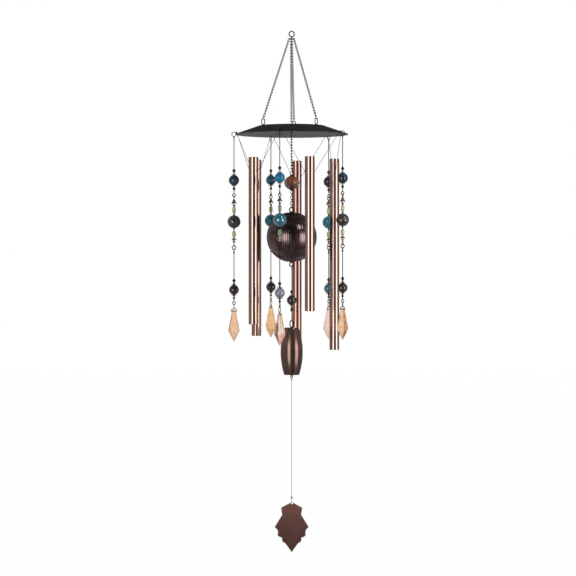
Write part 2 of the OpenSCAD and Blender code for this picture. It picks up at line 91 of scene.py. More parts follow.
class Nodes:
    """An emptied node tree with short helpers for building it."""

    def __init__(self, owner):
        owner.use_nodes = True
        self.tree = owner.node_tree
        self.tree.nodes.clear()

    def node(self, kind, **props):
        n = self.tree.nodes.new(kind)
        for key, value in props.items():
            setattr(n, key, value)
        return n

    def plug(self, socket, value):
        """Links an output socket, or sets a plain value."""
        if hasattr(value, "is_output"):
            self.tree.links.new(value, socket)
        else:
            socket.default_value = value

    def maths(self, operation, first, second=0.0, *rest):
        n = self.node("ShaderNodeMath", operation=operation)
        for socket, value in zip(n.inputs, (first, second, *rest)):
            self.plug(socket, value)
        return n.outputs[0]

    def wave(self, operation, value):
        """Sine or cosine of a value."""
        n = self.node("ShaderNodeMath", operation=operation)
        self.plug(n.inputs[0], value)
        return n.outputs[0]

    def axes(self, vector):
        n = self.node("ShaderNodeSeparateXYZ")
        self.plug(n.inputs[0], vector)
        return n.outputs

    def span(self, value, to, source=(0.3, 0.7), **props):
        """Maps the source range onto another; the default suits the middle of a noise."""
        n = self.node("ShaderNodeMapRange", **props)
        self.plug(n.inputs["Value"], value)
        for key, number in zip(("From Min", "From Max", "To Min", "To Max"), (*source, *to)):
            n.inputs[key].default_value = number
        return n.outputs[0]

    def ramp(self, value, *stops):
        """Colour ramp; each stop is a position and a colour."""
        n = self.node("ShaderNodeValToRGB")
        self.plug(n.inputs[0], value)
        elements = n.color_ramp.elements
        while len(elements) < len(stops):
            elements.new(0.5)
        for k, (position, colour) in enumerate(stops):
            elements[k].position = position
            elements[k].color = (*colour, 1)
        return n.outputs[0]

    def choose(self, factor, off, on):
        """Blend of two numbers."""
        n = self.node("ShaderNodeMix", data_type="FLOAT")
        self.plug(n.inputs[0], factor)
        self.plug(n.inputs[2], off)
        self.plug(n.inputs[3], on)
        return n.outputs[0]


class Mat(Nodes):
    """A Principled material."""

    SOCKETS = {"base": "Base Color", "rough": "Roughness", "metal": "Metallic",
               "coat": "Coat Weight", "coat_rough": "Coat Roughness", "coat_ior": "Coat IOR",
               "ior": "IOR", "trans": "Transmission Weight", "spec": "Specular IOR Level"}

    def __init__(self, name, **values):
        self.material = bpy.data.materials.new(name)
        super().__init__(self.material)
        out = self.node("ShaderNodeOutputMaterial")
        self.shader = self.node("ShaderNodeBsdfPrincipled")
        self.plug(out.inputs[0], self.shader.outputs[0])
        self.place = self.node("ShaderNodeTexCoord").outputs["Object"]
        self.set(**values)

    def set(self, **values):
        for key, value in values.items():
            self.plug(self.shader.inputs[self.SOCKETS[key]], value)

    def stretched(self, scale):
        n = self.node("ShaderNodeMapping")
        self.plug(n.inputs["Vector"], self.place)
        n.inputs["Scale"].default_value = scale
        return n.outputs[0]

    def noise(self, scale, detail=4.0, rough=0.5, swirl=0.0, vector=None):
        n = self.node("ShaderNodeTexNoise")
        self.plug(n.inputs["Vector"], vector or self.place)
        n.inputs["Scale"].default_value = scale
        n.inputs["Detail"].default_value = detail
        n.inputs["Roughness"].default_value = rough
        n.inputs["Distortion"].default_value = swirl
        return n.outputs[0]

    def mix(self, factor, off, on):
        """Blend of two colours."""
        n = self.node("ShaderNodeMix", data_type="RGBA")
        self.plug(n.inputs[0], factor)
        for socket, colour in ((n.inputs[6], off), (n.inputs[7], on)):
            self.plug(socket, (*colour, 1) if isinstance(colour, tuple) else colour)
        return n.outputs[2]

    def tint(self, base, colour, by, over, most=1):
        """Fades colour in, up to most, as the value `by` crosses the range `over`."""
        return self.mix(self.span(by, to=(0, most), source=over), base, colour)

    def height(self, bottom, top):
        """0 to 1 between two heights in metres."""
        return self.span(self.axes(self.place)["Z"], to=(0, 1), source=(bottom, top))

    def facing(self, blend):
        n = self.node("ShaderNodeLayerWeight")
        n.inputs["Blend"].default_value = blend
        return n.outputs["Facing"]

    def face_normal(self):
        return self.node("ShaderNodeNewGeometry").outputs["True Normal"]

    def bump(self, height, strength, distance):
        n = self.node("ShaderNodeBump")
        self.plug(n.inputs["Height"], height)
        n.inputs["Strength"].default_value = strength
        n.inputs["Distance"].default_value = distance
        self.plug(self.shader.inputs["Normal"], n.outputs[0])


def scaled(colour, factors):
    return tuple(value * factor for value, factor in zip(colour, factors))


# ---------------------------------------------------------------------- materials

def black_wire():
    m = Mat("black_wire", metal=1.0)
    grain = m.noise(scale=900, detail=3)
    m.set(base=m.ramp(grain, (0.3, (0.2, 0.2, 0.2)), (0.62, (0.26, 0.257, 0.253)),
                      (0.8, (0.33, 0.325, 0.32))),
          rough=m.span(grain, to=(0.08, 0.16)))
    return m.material


def chain_with_painted_highlight():
    """Black chain with a painted highlight along the middle of every link, black where links
    meet.
    """
    m = Mat("black_chain", metal=1.0)
    fall = CHAIN_TOP - RIM_CHAIN_LOW
    spread = RIM_CHAIN_OUT - RIM_CHAIN_IN
    length = math.hypot(fall, spread)
    middle_pitch = 5.7633
    middle_reach = 4.6    # nearer the axis than this is the middle chain

    def beat(distance, bearing, pitch):
        """-1 at the middle of each link, 1 where links meet."""
        phase = (bearing + LINK_PLAY - LINK_SLACK / 2) * MM
        turns = m.maths("MULTIPLY", m.maths("ADD", distance, phase), 2 * PI / (pitch * MM))
        return m.maths("COSINE", turns)

    x, y, z = m.axes(m.place)
    drop = m.maths("SUBTRACT", CHAIN_TOP * MM, z)
    squares = m.maths("ADD", m.maths("MULTIPLY", x, x), m.maths("MULTIPLY", y, y))
    reach = m.maths("SQRT", squares)
    out = m.maths("SUBTRACT", reach, RIM_CHAIN_IN * MM)
    slant = m.maths("ADD", m.maths("MULTIPLY", out, spread / length),
                    m.maths("MULTIPLY", drop, fall / length))
    rim = beat(slant, RIM_BEARINGS[0], link_pitch(length, RIM_LINKS, RIM_BEARINGS))
    middle = beat(drop, MIDDLE_BEARINGS[0], middle_pitch)
    central = m.maths("LESS_THAN", reach, middle_reach * MM)
    both = m.maths("ADD", m.maths("MULTIPLY", middle, central),
                   m.maths("MULTIPLY", rim, m.maths("SUBTRACT", 1.0, central)))
    grain = m.noise(scale=900, detail=3)
    # Painted highlight: pale along the middle of each link, dark where links meet.
    dark = m.ramp(grain, (0.3, (0.004, 0.004, 0.004)), (0.75, (0.014, 0.0138, 0.0135)))
    pale = m.ramp(grain, (0.3, (0.2, 0.198, 0.195)), (0.75, (0.34, 0.336, 0.33)))
    m.set(base=m.tint(pale, dark, by=both, over=(0.0, 0.4)),
          rough=m.span(grain, to=(0.1, 0.18)))
    return m.material


def dark_wire():
    """Thin black findings wire, nearly matt."""
    m = Mat("dark_wire", metal=0.0, ior=1.5, spec=0.25)
    grain = m.noise(scale=900, detail=3)
    m.set(base=m.ramp(grain, (0.3, (0.002, 0.002, 0.002)), (0.62, (0.006, 0.006, 0.006)),
                      (0.8, (0.018, 0.017, 0.016))),
          rough=m.span(grain, to=(0.35, 0.55)))
    m.bump(m.noise(scale=2500, detail=2), strength=0.08, distance=0.0001)
    return m.material


def canopy_black():
    """Dark skirt on top, with painted light on the faces that look down: a paler grey."""
    m = Mat("canopy_black", metal=0.0, ior=1.5, spec=0.8)
    cloud = m.noise(scale=60, detail=5, rough=0.6)
    fine = m.noise(scale=1600, detail=3)
    dark = m.ramp(cloud, (0.3, (0.011, 0.012, 0.011)), (0.7, (0.017, 0.018, 0.017)))
    # Painted light: grey is the lit look of the faces that look down.
    grey = m.ramp(cloud, (0.3, (0.2, 0.197, 0.197)), (0.7, (0.26, 0.256, 0.256)))
    upward = m.axes(m.face_normal())["Z"]
    m.set(base=m.tint(dark, grey, by=upward, over=(-0.3, -0.5)),
          rough=m.span(fine, to=(0.28, 0.38)))
    m.bump(fine, strength=0.1, distance=0.0001)
    return m.material


def anodised(name, base, warm):
    """Polished tube: faint draw lines along its length, a little toning, and painted shade
    darkening its edges.
    """
    m = Mat(name, metal=1.0)
    lines = m.noise(scale=1, detail=2, vector=m.stretched((700, 700, 5)))
    cloud = m.noise(scale=18, rough=0.6)
    colour = m.tint(base, warm, by=cloud, over=(0.3, 0.7))
    colour = m.tint(colour, scaled(base, (0.6, 0.6, 0.6)), by=lines, over=(0.42, 0.72), most=0.16)
    # Painted shade: darker toward the edges seen at a slant.
    edge = scaled(base, (0.55, 0.55, 0.55))
    m.set(base=m.tint(colour, edge, by=m.facing(blend=0.5), over=(0.5, 1.0), most=0.45),
          rough=m.span(lines, to=(0.05, 0.09)))
    return m.material


def ball_bronze():
    """Mottled bronze, with painted shade darkening the flutes."""
    m = Mat("ball_bronze", metal=1.0)
    cloud = m.noise(scale=30, rough=0.6)
    fine = m.noise(scale=500, detail=3, rough=0.6)
    colour = m.ramp(cloud, (0.3, (0.17, 0.115, 0.118)), (0.55, (0.21, 0.142, 0.142)),
                    (0.75, (0.26, 0.175, 0.168)))
    colour = m.tint(colour, (0.07, 0.045, 0.045), by=fine, over=(0.5, 0.75), most=0.3)
    x, y, z = m.axes(m.place)
    # Painted shade: a dark line down every flute.
    flutes = m.wave("COSINE", m.maths("MULTIPLY", m.maths("ARCTAN2", y, x), float(FLUTES)))
    m.set(base=m.tint(colour, (0.02, 0.013, 0.013), by=flutes, over=(-0.72, -0.98), most=0.75),
          rough=m.span(fine, to=(0.14, 0.2)))
    return m.material


def barrel_bronze():
    """Turned bronze with faint rings, with painted shade darkening it at the bottom and toward
    its edges.
    """
    m = Mat("barrel_bronze", metal=0.8)
    cloud = m.noise(scale=30, detail=5, rough=0.6)
    rings = m.noise(scale=1, detail=2, vector=m.stretched((8, 8, 500)))
    colour = m.ramp(cloud, (0.3, (0.25, 0.15, 0.122)), (0.7, (0.3, 0.185, 0.152)))
    # Painted shade toward the edges seen at a slant.
    colour = m.tint(colour, (0.055, 0.032, 0.032), by=m.facing(blend=0.5), over=(0.35, 0.95),
                    most=0.75)
    # Painted shade, darker toward the bottom.
    painted_bottom_shade = m.span(m.height(bottom=-0.656, top=-0.59), to=(0.62, 0.0), source=(0.0, 0.85))
    colour = m.mix(painted_bottom_shade, colour, (0.07, 0.033, 0.028))
    m.set(base=m.tint(colour, (0.09, 0.05, 0.042), by=rings, over=(0.4, 0.7), most=0.3),
          rough=m.span(rings, to=(0.13, 0.18)))
    return m.material


def sail_copper():
    """Brushed copper, with painted light making it brighter toward the top of the sail."""
    m = Mat("sail_copper", metal=0.75)
    cloud = m.noise(scale=28, detail=5, rough=0.62)
    fine = m.noise(scale=420, rough=0.6)
    height = m.height(bottom=-1.012, top=-0.914)
    # Painted light: upper is the lit tone and lower the shaded one, blended by height.
    lower = m.ramp(cloud, (0.32, (0.11, 0.056, 0.05)), (0.68, (0.165, 0.078, 0.068)))
    upper = m.ramp(cloud, (0.32, (0.26, 0.118, 0.094)), (0.68, (0.34, 0.148, 0.122)))
    colour = m.mix(m.ramp(height, (0.25, (0, 0, 0)), (0.95, (1, 1, 1))), lower, upper)
    m.set(base=m.tint(colour, (0.07, 0.04, 0.035), by=fine, over=(0.5, 0.8), most=0.5),
          rough=m.span(fine, to=(0.36, 0.52)))
    m.bump(fine, strength=0.12, distance=0.00015)
    return m.material


def cord():
    m = Mat("cord", metal=0.0, spec=0.12)
    fibre = m.noise(scale=2600, detail=2)
    m.set(base=m.ramp(fibre, (0.3, (0.003, 0.003, 0.003)), (0.75, (0.02, 0.02, 0.021))),
          rough=m.span(fibre, to=(0.7, 0.9)))
    m.bump(fibre, strength=0.3, distance=0.0001)
    return m.material


def brass(name, pale, dark, metal=0.8):
    """Antiqued stamping: pale and dark in patches, with painted shade darkening faces seen at a
    slant.
    """
    m = Mat(name, metal=metal)
    wear = m.noise(scale=520, rough=0.65)
    between = tuple((a + b) / 2 for a, b in zip(dark, pale))
    colour = m.ramp(wear, (0.34, dark), (0.52, between), (0.66, pale))
    # Painted shade on faces seen at a slant.
    m.set(base=m.tint(colour, dark, by=m.facing(blend=0.35), over=(0.2, 0.9), most=0.6),
          rough=m.span(wear, to=(0.42, 0.2)))
    m.bump(wear, strength=0.25, distance=0.0002)
    return m.material


def jet():
    m = Mat("jet_glass", metal=0.0, ior=1.62, coat=0.4, coat_rough=0.03)
    cloud = m.noise(scale=400, detail=3)
    m.set(base=m.ramp(cloud, (0.35, (0.004, 0.004, 0.005)), (0.7, (0.016, 0.015, 0.016))),
          rough=m.span(cloud, to=(0.04, 0.12)))
    m.bump(cloud, strength=0.05, distance=0.0001)
    return m.material


def stone(name, dark, body, light, scale=160, rough=(0.06, 0.16), swirl=1.5, coat=0.8,
          metal=0.0, rim=None, coat_ior=1.75):
    """Glazed or polished bead: clouded colour in three tones under a clear coat."""
    m = Mat(name, coat=coat, coat_rough=0.05, metal=metal, ior=1.52, coat_ior=coat_ior)
    cloud = m.noise(scale=scale, rough=0.55, swirl=swirl)
    fine = m.noise(scale=900, detail=3)
    colour = m.ramp(cloud, (0.3, dark), (0.52, body), (0.74, light))
    colour = m.tint(colour, dark, by=fine, over=(0.55, 0.75), most=0.2)
    if rim:
        colour = m.tint(colour, rim, by=m.facing(blend=0.5), over=(0.35, 0.95), most=0.9)
    m.set(base=colour, rough=m.span(fine, to=rough))
    m.bump(cloud, strength=0.03, distance=0.0002)
    return m.material


def clear_base(name, trans, ior):
    """The start of every clear glass: the material and its cloud."""
    m = Mat(name, trans=trans, ior=ior, coat=0.3, coat_rough=0.03)
    return m, m.noise(scale=90, rough=0.6, swirl=1.0)


def glass(name, tint, deep, trans=0.7):
    """Tinted pressed glass."""
    m, cloud = clear_base(name, trans=trans, ior=1.5)
    m.set(base=m.ramp(cloud, (0.3, deep), (0.62, tint)),
          rough=m.span(m.noise(scale=500, detail=3), to=(0.05, 0.09)))
    m.bump(cloud, strength=0.04, distance=0.0002)
    return m.material


def crystal(name, tint, deep, tip, ior, trans=0.9, slant=1.0):
    """Cut glass with painted shade. slant deepens faces seen at a slant; tip colours faces that
    look down.
    """
    m, cloud = clear_base(name, trans=trans, ior=ior)
    colour = m.tint(tint, deep, by=cloud, over=(0.35, 0.7), most=0.25)
    # A sine of the face direction gives each facet its own depth of colour, a painted shade.
    along = m.node("ShaderNodeVectorMath", operation="DOT_PRODUCT")
    m.plug(along.inputs[0], m.face_normal())
    along.inputs[1].default_value = (9.0, 4.0, 13.0)
    facets = m.wave("SINE", along.outputs["Value"])
    colour = m.tint(colour, scaled(deep, (0.88, 0.8, 0.72)), by=facets, over=(-0.2, 1.0),
                    most=0.55)
    # Painted shade on faces seen at a slant.
    colour = m.tint(colour, scaled(deep, (0.92, 0.74, 0.6)), by=m.facing(blend=0.5),
                    over=(0.22, 0.75), most=slant)
    # Painted shade on the faces that look down.
    upward = m.axes(m.face_normal())["Z"]
    m.set(base=m.tint(colour, tip, by=upward, over=(-0.12, -0.5), most=0.9),
          rough=m.span(m.noise(scale=500, detail=3), to=(0.02, 0.06)))
    return m.material


def amber_glass(bottom, top):
    """Amber, dark red at the bottom and orange at the top; heights in metres."""
    m = Mat("amber", trans=0.12, ior=1.54, coat=1.0, coat_rough=0.04, coat_ior=1.8)
    cloud = m.noise(scale=120, rough=0.6, swirl=1.2)
    colour = m.ramp(m.height(bottom, top),
                    (0.1, (0.09, 0.022, 0.012)), (0.36, (0.24, 0.058, 0.022)),
                    (0.56, (0.4, 0.1, 0.03)), (0.9, (0.5, 0.15, 0.04)))
    # Painted shade: a dark rim where the bead is seen at a slant.
    colour = m.tint(colour, (0.03, 0.008, 0.006), by=m.facing(blend=0.5), over=(0.5, 0.95),
                    most=0.85)
    m.set(base=m.tint(colour, (0.06, 0.016, 0.01), by=cloud, over=(0.45, 0.7), most=0.4),
          rough=m.span(cloud, to=(0.05, 0.12)))
    m.bump(cloud, strength=0.03, distance=0.0003)
    return m.material


WIRE = black_wire()
DARK = dark_wire()
CHAIN = chain_with_painted_highlight()
CANOPY = canopy_black()
TUBE = anodised("tube_bronze", base=(0.5, 0.335, 0.285), warm=(0.55, 0.365, 0.31))
# Painted light: the rear tube is the same bronze, given a redder copy for how it looks behind the
# others.
TUBE_REAR = anodised("tube_bronze_rear", base=(0.5, 0.285, 0.24), warm=(0.55, 0.315, 0.265))
BALL = ball_bronze()
BARREL = barrel_bronze()
SAIL = sail_copper()
CORD = cord()
GOLD = brass("antique_brass", pale=(0.95, 0.76, 0.42), dark=(0.1, 0.075, 0.04))
IVORY = brass("antique_ivory", pale=(0.95, 0.9, 0.74), dark=(0.22, 0.19, 0.13), metal=0.25)
SILVER = brass("antique_silver", pale=(1.0, 0.98, 0.95), dark=(0.25, 0.24, 0.22), metal=0.3)
CONE = brass("antique_cone", pale=(0.62, 0.47, 0.24), dark=(0.02, 0.016, 0.012))
DULL = brass("antique_grey", pale=(0.34, 0.31, 0.27), dark=(0.03, 0.028, 0.026))
GILT = brass("bright_gilt", pale=(1.0, 0.84, 0.45), dark=(0.5, 0.34, 0.12), metal=0.7)
SPACER = brass("dark_spacer", pale=(0.12, 0.1, 0.08), dark=(0.012, 0.011, 0.01))
JET = jet()
# Each stone's colours are its dark, body and light tones.
NAVY = stone("navy_stone", (0.004, 0.011, 0.02), (0.008, 0.032, 0.065), (0.05, 0.13, 0.2),
             coat=0.55)
CHARCOAL = stone("charcoal_pearl", (0.014, 0.014, 0.013), (0.03, 0.03, 0.027),
                 (0.22, 0.225, 0.21), scale=120, rough=(0.12, 0.24), swirl=2.4)
MAROON = stone("maroon_stone", (0.012, 0.004, 0.007), (0.045, 0.01, 0.016), (0.1, 0.02, 0.03))
TURQUOISE = stone("turquoise_stone", (0.0, 0.1, 0.22), (0.0, 0.19, 0.38), (0.01, 0.36, 0.52),
                  scale=170, coat=0.35)
IRIS = stone("iridescent_teal", (0.004, 0.09, 0.15), (0.008, 0.18, 0.29), (0.05, 0.36, 0.48),
             scale=80, rough=(0.03, 0.07), swirl=1.2, coat=1.0, metal=0.3,
             rim=(0.05, 0.45, 0.66), coat_ior=2.2)
LAVENDER = stone("lavender_stone", (0.12, 0.12, 0.2), (0.27, 0.27, 0.38), (0.5, 0.5, 0.6),
                 scale=140)
VIOLET = stone("violet_stone", (0.01, 0.008, 0.03), (0.022, 0.02, 0.09), (0.09, 0.07, 0.14),
               scale=150)
AQUA = stone("aqua_glass", (0.01, 0.17, 0.24), (0.05, 0.36, 0.45), (0.2, 0.55, 0.62), scale=140)
TEAL = stone("teal_glass", (0.0, 0.085, 0.13), (0.0, 0.185, 0.25), (0.004, 0.28, 0.36),
             scale=140, coat=0.5)
SEA_TEAL = stone("sea_teal", (0.01, 0.1, 0.14), (0.04, 0.23, 0.3), (0.12, 0.4, 0.46), scale=150)
TEAL_BLUE = stone("teal_blue", (0.004, 0.012, 0.02), (0.008, 0.11, 0.21), (0.03, 0.25, 0.36),
                  scale=95)
DARK_TEAL = stone("dark_teal", (0.004, 0.012, 0.02), (0.01, 0.026, 0.045), (0.05, 0.09, 0.12),
                  scale=150)
GREEN = glass("green_glass", tint=(0.74, 0.84, 0.36), deep=(0.4, 0.52, 0.14))
LEAF = glass("leaf_glass", tint=(0.38, 0.62, 0.34), deep=(0.12, 0.3, 0.14))
OLIVE = glass("olive_glass", tint=(0.34, 0.44, 0.05), deep=(0.14, 0.2, 0.02), trans=0.6)
PEACH = crystal("amber_crystal", tint=(0.96, 0.69, 0.47), deep=(0.9, 0.5, 0.27),
                tip=(0.74, 0.36, 0.19), ior=1.28)
GOLDEN = crystal("gold_crystal", tint=(0.99, 0.72, 0.42), deep=(0.9, 0.44, 0.14),
                 tip=(0.5, 0.17, 0.05), ior=1.3)
PINK = crystal("pink_crystal", tint=(0.99, 0.83, 0.76), deep=(0.96, 0.7, 0.6),
               tip=(0.8, 0.42, 0.3), ior=1.15, trans=0.85, slant=0.75)
AMBER = amber_glass(low("amber_bead").z * MM, high("amber_bead").z * MM)


# ------------------------------------------------------------------- mesh helpers

class Shape:
    """Collects parts in millimetres, each with its own material, placed by `at`."""

    def __init__(self, at=None):
        self.at = at or Matrix.Identity(4)
        self.verts, self.faces, self.slots, self.smooth, self.mats = [], [], [], [], []

    def add(self, part, mat, smooth=True, at=None):
        verts, faces = part
        if mat not in self.mats:
            self.mats.append(mat)
        base = len(self.verts)
        at = at or self.at
        self.verts += [at @ Vector(p) for p in verts]
        self.faces += [tuple(i + base for i in f) for f in faces]
        self.slots += [self.mats.index(mat)] * len(faces)
        self.smooth += [smooth] * len(faces)
        return self

    def build(self, node, slot):
        """Makes the object that stands in for a CAD node."""
        name = "v_" + node.removeprefix("strand_")
        mesh = bpy.data.meshes.new(name)
        mesh.from_pydata([v * MM for v in self.verts], [], self.faces)
        for mat in self.mats:
            mesh.materials.append(mat)
        mesh.polygons.foreach_set("material_index", self.slots)
        mesh.polygons.foreach_set("use_smooth", self.smooth)
        mesh.validate()
        mesh.update()
        mesh.set_sharp_from_angle(angle=math.radians(38))
        ob = bpy.data.objects.new(name, mesh)
        bpy.context.scene.collection.objects.link(ob)
        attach(ob, node_body[node])
        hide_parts(node)
        return ob


def around(radius, angle, z):
    return radius * math.cos(angle), radius * math.sin(angle), z


def join(*parts):
    verts, faces = [], []
    for part_verts, part_faces in parts:
        base = len(verts)
        verts += part_verts
        faces += [tuple(i + base for i in f) for f in part_faces]
    return verts, faces


def revolve(loop, n=64, reshape=None, turn=0.0):
    """Closed loop of (radius, z) turned about Z; reshape maps angle, radius, z."""
    verts, faces, m = [], [], len(loop)
    for k in range(n):
        angle = 2 * PI * k / n + turn
        for point in loop:
            radius, z = reshape(angle, *point) if reshape else point
            verts.append(around(radius, angle, z))
    for k in range(n):
        a, b = k * m, (k + 1) % n * m
        for i in range(m):
            j = (i + 1) % m
            faces.append((a + j, b + j, b + i, a + i))
    return verts, faces


def arc(cx, cz, radius, start, end, n):
    """Points on an arc, angles in degrees."""
    angles = [math.radians(start + (end - start) * i / n) for i in range(n + 1)]
    return [(cx + radius * math.cos(a), cz + radius * math.sin(a)) for a in angles]


def sweep(path, radius, n=10, closed=False, strands=0, pitch=2.4, depth=0.22):
    """Round or twisted wire along a path; radius may be a list, one for each point."""
    pts = [Vector(p) for p in path]
    m = len(pts)
    radii = radius if isinstance(radius, list) else [radius] * m
    tangents = []
    for i in range(m):
        a = pts[(i - 1) % m] if closed or i else pts[i]
        b = pts[(i + 1) % m] if closed or i < m - 1 else pts[i]
        tangents.append((b - a).normalized())
    ref = Vector((0, 0, 1)) if abs(tangents[0].z) < 0.8 else Vector((1, 0, 0))
    if closed:
        ref = (pts[1] - pts[0]).cross(pts[m // 3] - pts[0]).normalized()
    u = (ref - tangents[0] * ref.dot(tangents[0])).normalized()
    verts, faces, travelled = [], [], 0.0
    for i, tangent in enumerate(tangents):
        if i:
            travelled += (pts[i] - pts[i - 1]).length
            u = (u - tangent * u.dot(tangent)).normalized()
        w = tangent.cross(u)
        for k in range(n):
            a = 2 * PI * k / n
            r = radii[i]
            if strands:
                lobe = abs(math.cos(strands / 2 * a + PI * travelled / pitch))
                r *= 1 - depth * (1 - lobe)
            verts.append(pts[i] + (u * math.cos(a) + w * math.sin(a)) * r)
    for i in range(m if closed else m - 1):
        a, b = i * n, (i + 1) % m * n
        for k in range(n):
            j = (k + 1) % n
            faces.append((a + k, a + j, b + j, b + k))
    if not closed:
        faces.append(tuple(range(n))[::-1])
        faces.append(tuple(range((m - 1) * n, m * n)))
    return verts, faces


def ring(z, radius, wire, plane, stretch=0.0):
    """Wire ring on the axis; plane is 'x' for XZ or 'y' for YZ. stretch adds straight sides."""
    path = []
    for k in range(36):
        a = 2 * PI * (k + 0.5) / 36
        p = radius * math.cos(a)
        q = radius * math.sin(a) + (stretch if math.sin(a) > 0 else -stretch)
        path.append(Vector((0, 0, z)) + Vector((p, 0, q) if plane == "x" else (0, p, q)))
    return sweep(path, wire / 2, 12, closed=True)


def line(start, end, step):
    start, end = Vector(start), Vector(end)
    n = max(2, int((end - start).length / step))
    return [start.lerp(end, i / n) for i in range(n + 1)]


def axis_line(start, end, step):
    """Line on the axis between two heights."""
    return line((0, 0, start), (0, 0, end), step)


def coil(top, drop, count, wire):
    """Open coil round the axis; drop is the fall from one point to the next."""
    return sweep([around(0.75, k * 0.55, top - k * drop) for k in range(count)], wire, 8)


def round_bead(z, r, bore=0.6, n=56, seed=0):
    """Round bead with a drilled hole and softened hole edges, a little out of true."""
    a = math.degrees(math.acos((bore + 0.35) / r))
    end = r * math.sin(math.radians(a)) - 0.25
    loop = arc(0, z, r, -a, a, 30) + [(bore, z + end), (bore, z - end)]
    draw = random.Random(seed)
    p1, p2 = draw.random() * 6.28, draw.random() * 6.28

    def uneven(u, rr, zz):
        return rr * (1 + 0.006 * math.sin(2 * u + p1) + 0.004 * math.sin(3 * u + p2)), zz

    return revolve(loop, n, uneven)


def rice_bead(z, r=3.6, height=12.4, bore=0.6):
    """Long pressed-glass bead with six shallow ribs."""
    loop = []
    for i in range(25):
        a = -1 + 2 * i / 24
        bulge = 0.46 + 0.54 * math.sqrt(max(0.0, 1 - abs(a) ** 2.6))
        loop.append((max(bore + 0.25, r * bulge), z + a * height / 2))
    loop += [(bore, z + height / 2 - 0.2), (bore, z - height / 2 + 0.2)]

    def ribbed(u, rr, zz):
        rib = 1 - 0.045 * (0.5 - 0.5 * math.cos(6 * u))
        return (rr * rib if rr > bore + 0.1 else rr), zz

    return revolve(loop, 48, ribbed)


def bicone(z, width, height, bore=0.6):
    """Eight-sided bicone with a narrow girdle and a facet break on each cone."""
    w, h = width / 2, height
    return revolve([(1.25, z - h / 2), (w * 0.62, z - h * 0.26), (w, z - 0.3), (w, z + 0.3),
                    (w * 0.62, z + h * 0.26), (1.25, z + h / 2),
                    (bore, z + h / 2 - 0.15), (bore, z - h / 2 + 0.15)], 8)


def double_shell(surface, n, rows, flip=False):
    """Thin closed sheet round Z. surface gives (radius, z) for outer 0 or 1, angle, row."""
    verts, faces = [], []
    for outer in (0, 1):
        for j in range(rows + 1):
            for k in range(n):
                u = 2 * PI * k / n
                r, z = surface(outer, u, j / rows)
                verts.append(around(r, u, z))
    m, t = (rows + 1) * n, rows * n
    for j in range(rows):
        for k in range(n):
            l = (k + 1) % n
            a, b, c, d = j * n + k, j * n + l, (j + 1) * n + l, (j + 1) * n + k
            faces.append((a, b, c, d))
            faces.append((m + d, m + c, m + b, m + a))
    for k in range(n):
        l = (k + 1) % n
        faces.append((t + k, t + l, m + t + l, m + t + k))
        faces.append((l, k, m + k, m + l))
    return verts, [f[::-1] for f in faces] if flip else faces


def petal_cap(bead_z, bead_r, width, end, side):
    """Stamped cap above (side 1) or below (side -1) a bead, its collar ending at height end.

    Veined petals flare clear of the bead to a grain at each tip.
    """
    petals, lift = 6, 0.9
    w = width / 2 - 0.45

    def surface(outer, u, v):
        c = abs(math.cos(petals * u / 2))
        r = 1.9 + (w * (0.7 + 0.3 * c ** 0.6) - 1.9) * v
        hug = math.sqrt(max(0.0, (bead_r + 0.12) ** 2 - r * r))
        q = max(hug, bead_r + 0.1 - 0.5 * v + lift * v ** 2 * (0.35 + 0.65 * c))
        if outer:
            q += 0.55 * (1 - 0.3 * v) + 0.22 * c ** 10 * (1 - v * 0.5)
        return r, bead_z + side * q

    top = bead_z + side * (bead_r + 0.3)
    d = end - top
    collar = [(0.78, top), (2.3, top), (2.5, top + d * 0.35), (1.8, top + d * 0.55),
              (2.1, top + d * 0.78), (1.6, end), (0.78, end)]
    grain_z = bead_z + side * (bead_r - 0.4 + lift + 0.35)
    grains = [grain(around(w, 2 * PI * k / petals, grain_z), 0.55) for k in range(petals)]
    return join(double_shell(surface, petals * 14, 8, flip=side < 0),
                revolve(collar[::side], 28), *grains)


def cone_petals(z, width, height):
    """Open cone cap cut into five pointed leaves."""
    petals = 5

    def surface(outer, u, v):
        c = abs(math.cos(petals * u / 2))
        t = v * (0.52 + 0.48 * c ** 0.8)
        r = 1.15 + (width / 2 - 1.15) * t ** 1.15
        zz = z + height / 2 - height * t ** 0.9
        return (r + 0.42, zz + 0.3 + 0.15 * c ** 8) if outer else (r, zz)

    return double_shell(surface, petals * 14, 7)


def grain(centre_point, r, n=12, m=8):
    """Small solid ball."""
    cx, cy, cz = centre_point
    verts = [(cx, cy, cz + r)]
    for i in range(1, m):
        a = PI * i / m
        for k in range(n):
            x, y, z = around(r * math.sin(a), 2 * PI * k / n, r * math.cos(a))
            verts.append((cx + x, cy + y, cz + z))
    verts.append((cx, cy, cz - r))
    faces = [(0, 1 + k, 1 + (k + 1) % n) for k in range(n)]
    for i in range(m - 2):
        for k in range(n):
            a, b = 1 + i * n, 1 + (i + 1) * n
            faces.append((a + k, b + k, b + (k + 1) % n, a + (k + 1) % n))
    last = len(verts) - 1
    a = 1 + (m - 2) * n
    faces += [(a + (k + 1) % n, a + k, last) for k in range(n)]
    return verts, faces


def icicle(tip, profile, n=8):
    """Cut drop: every second row of corners is turned half a side, so facets are triangles."""
    verts, faces = [], []
    for row, (r, h) in enumerate(profile):
        for k in range(n):
            verts.append(around(r, 2 * PI * (k + row % 2 * 0.5) / n + PI / n, tip + h))
    for i in range(len(profile) - 1):
        a, b = i * n, (i + 1) * n
        for k in range(n):
            l = (k + 1) % n
            if i % 2 == 0:
                faces += [(a + k, a + l, b + k), (a + l, b + l, b + k)]
            else:
                faces += [(a + k, b + l, b + k), (a + k, a + l, b + l)]
    faces.append(tuple(range(n))[::-1])
    faces.append(tuple(range((len(profile) - 1) * n, len(profile) * n)))
    return verts, faces


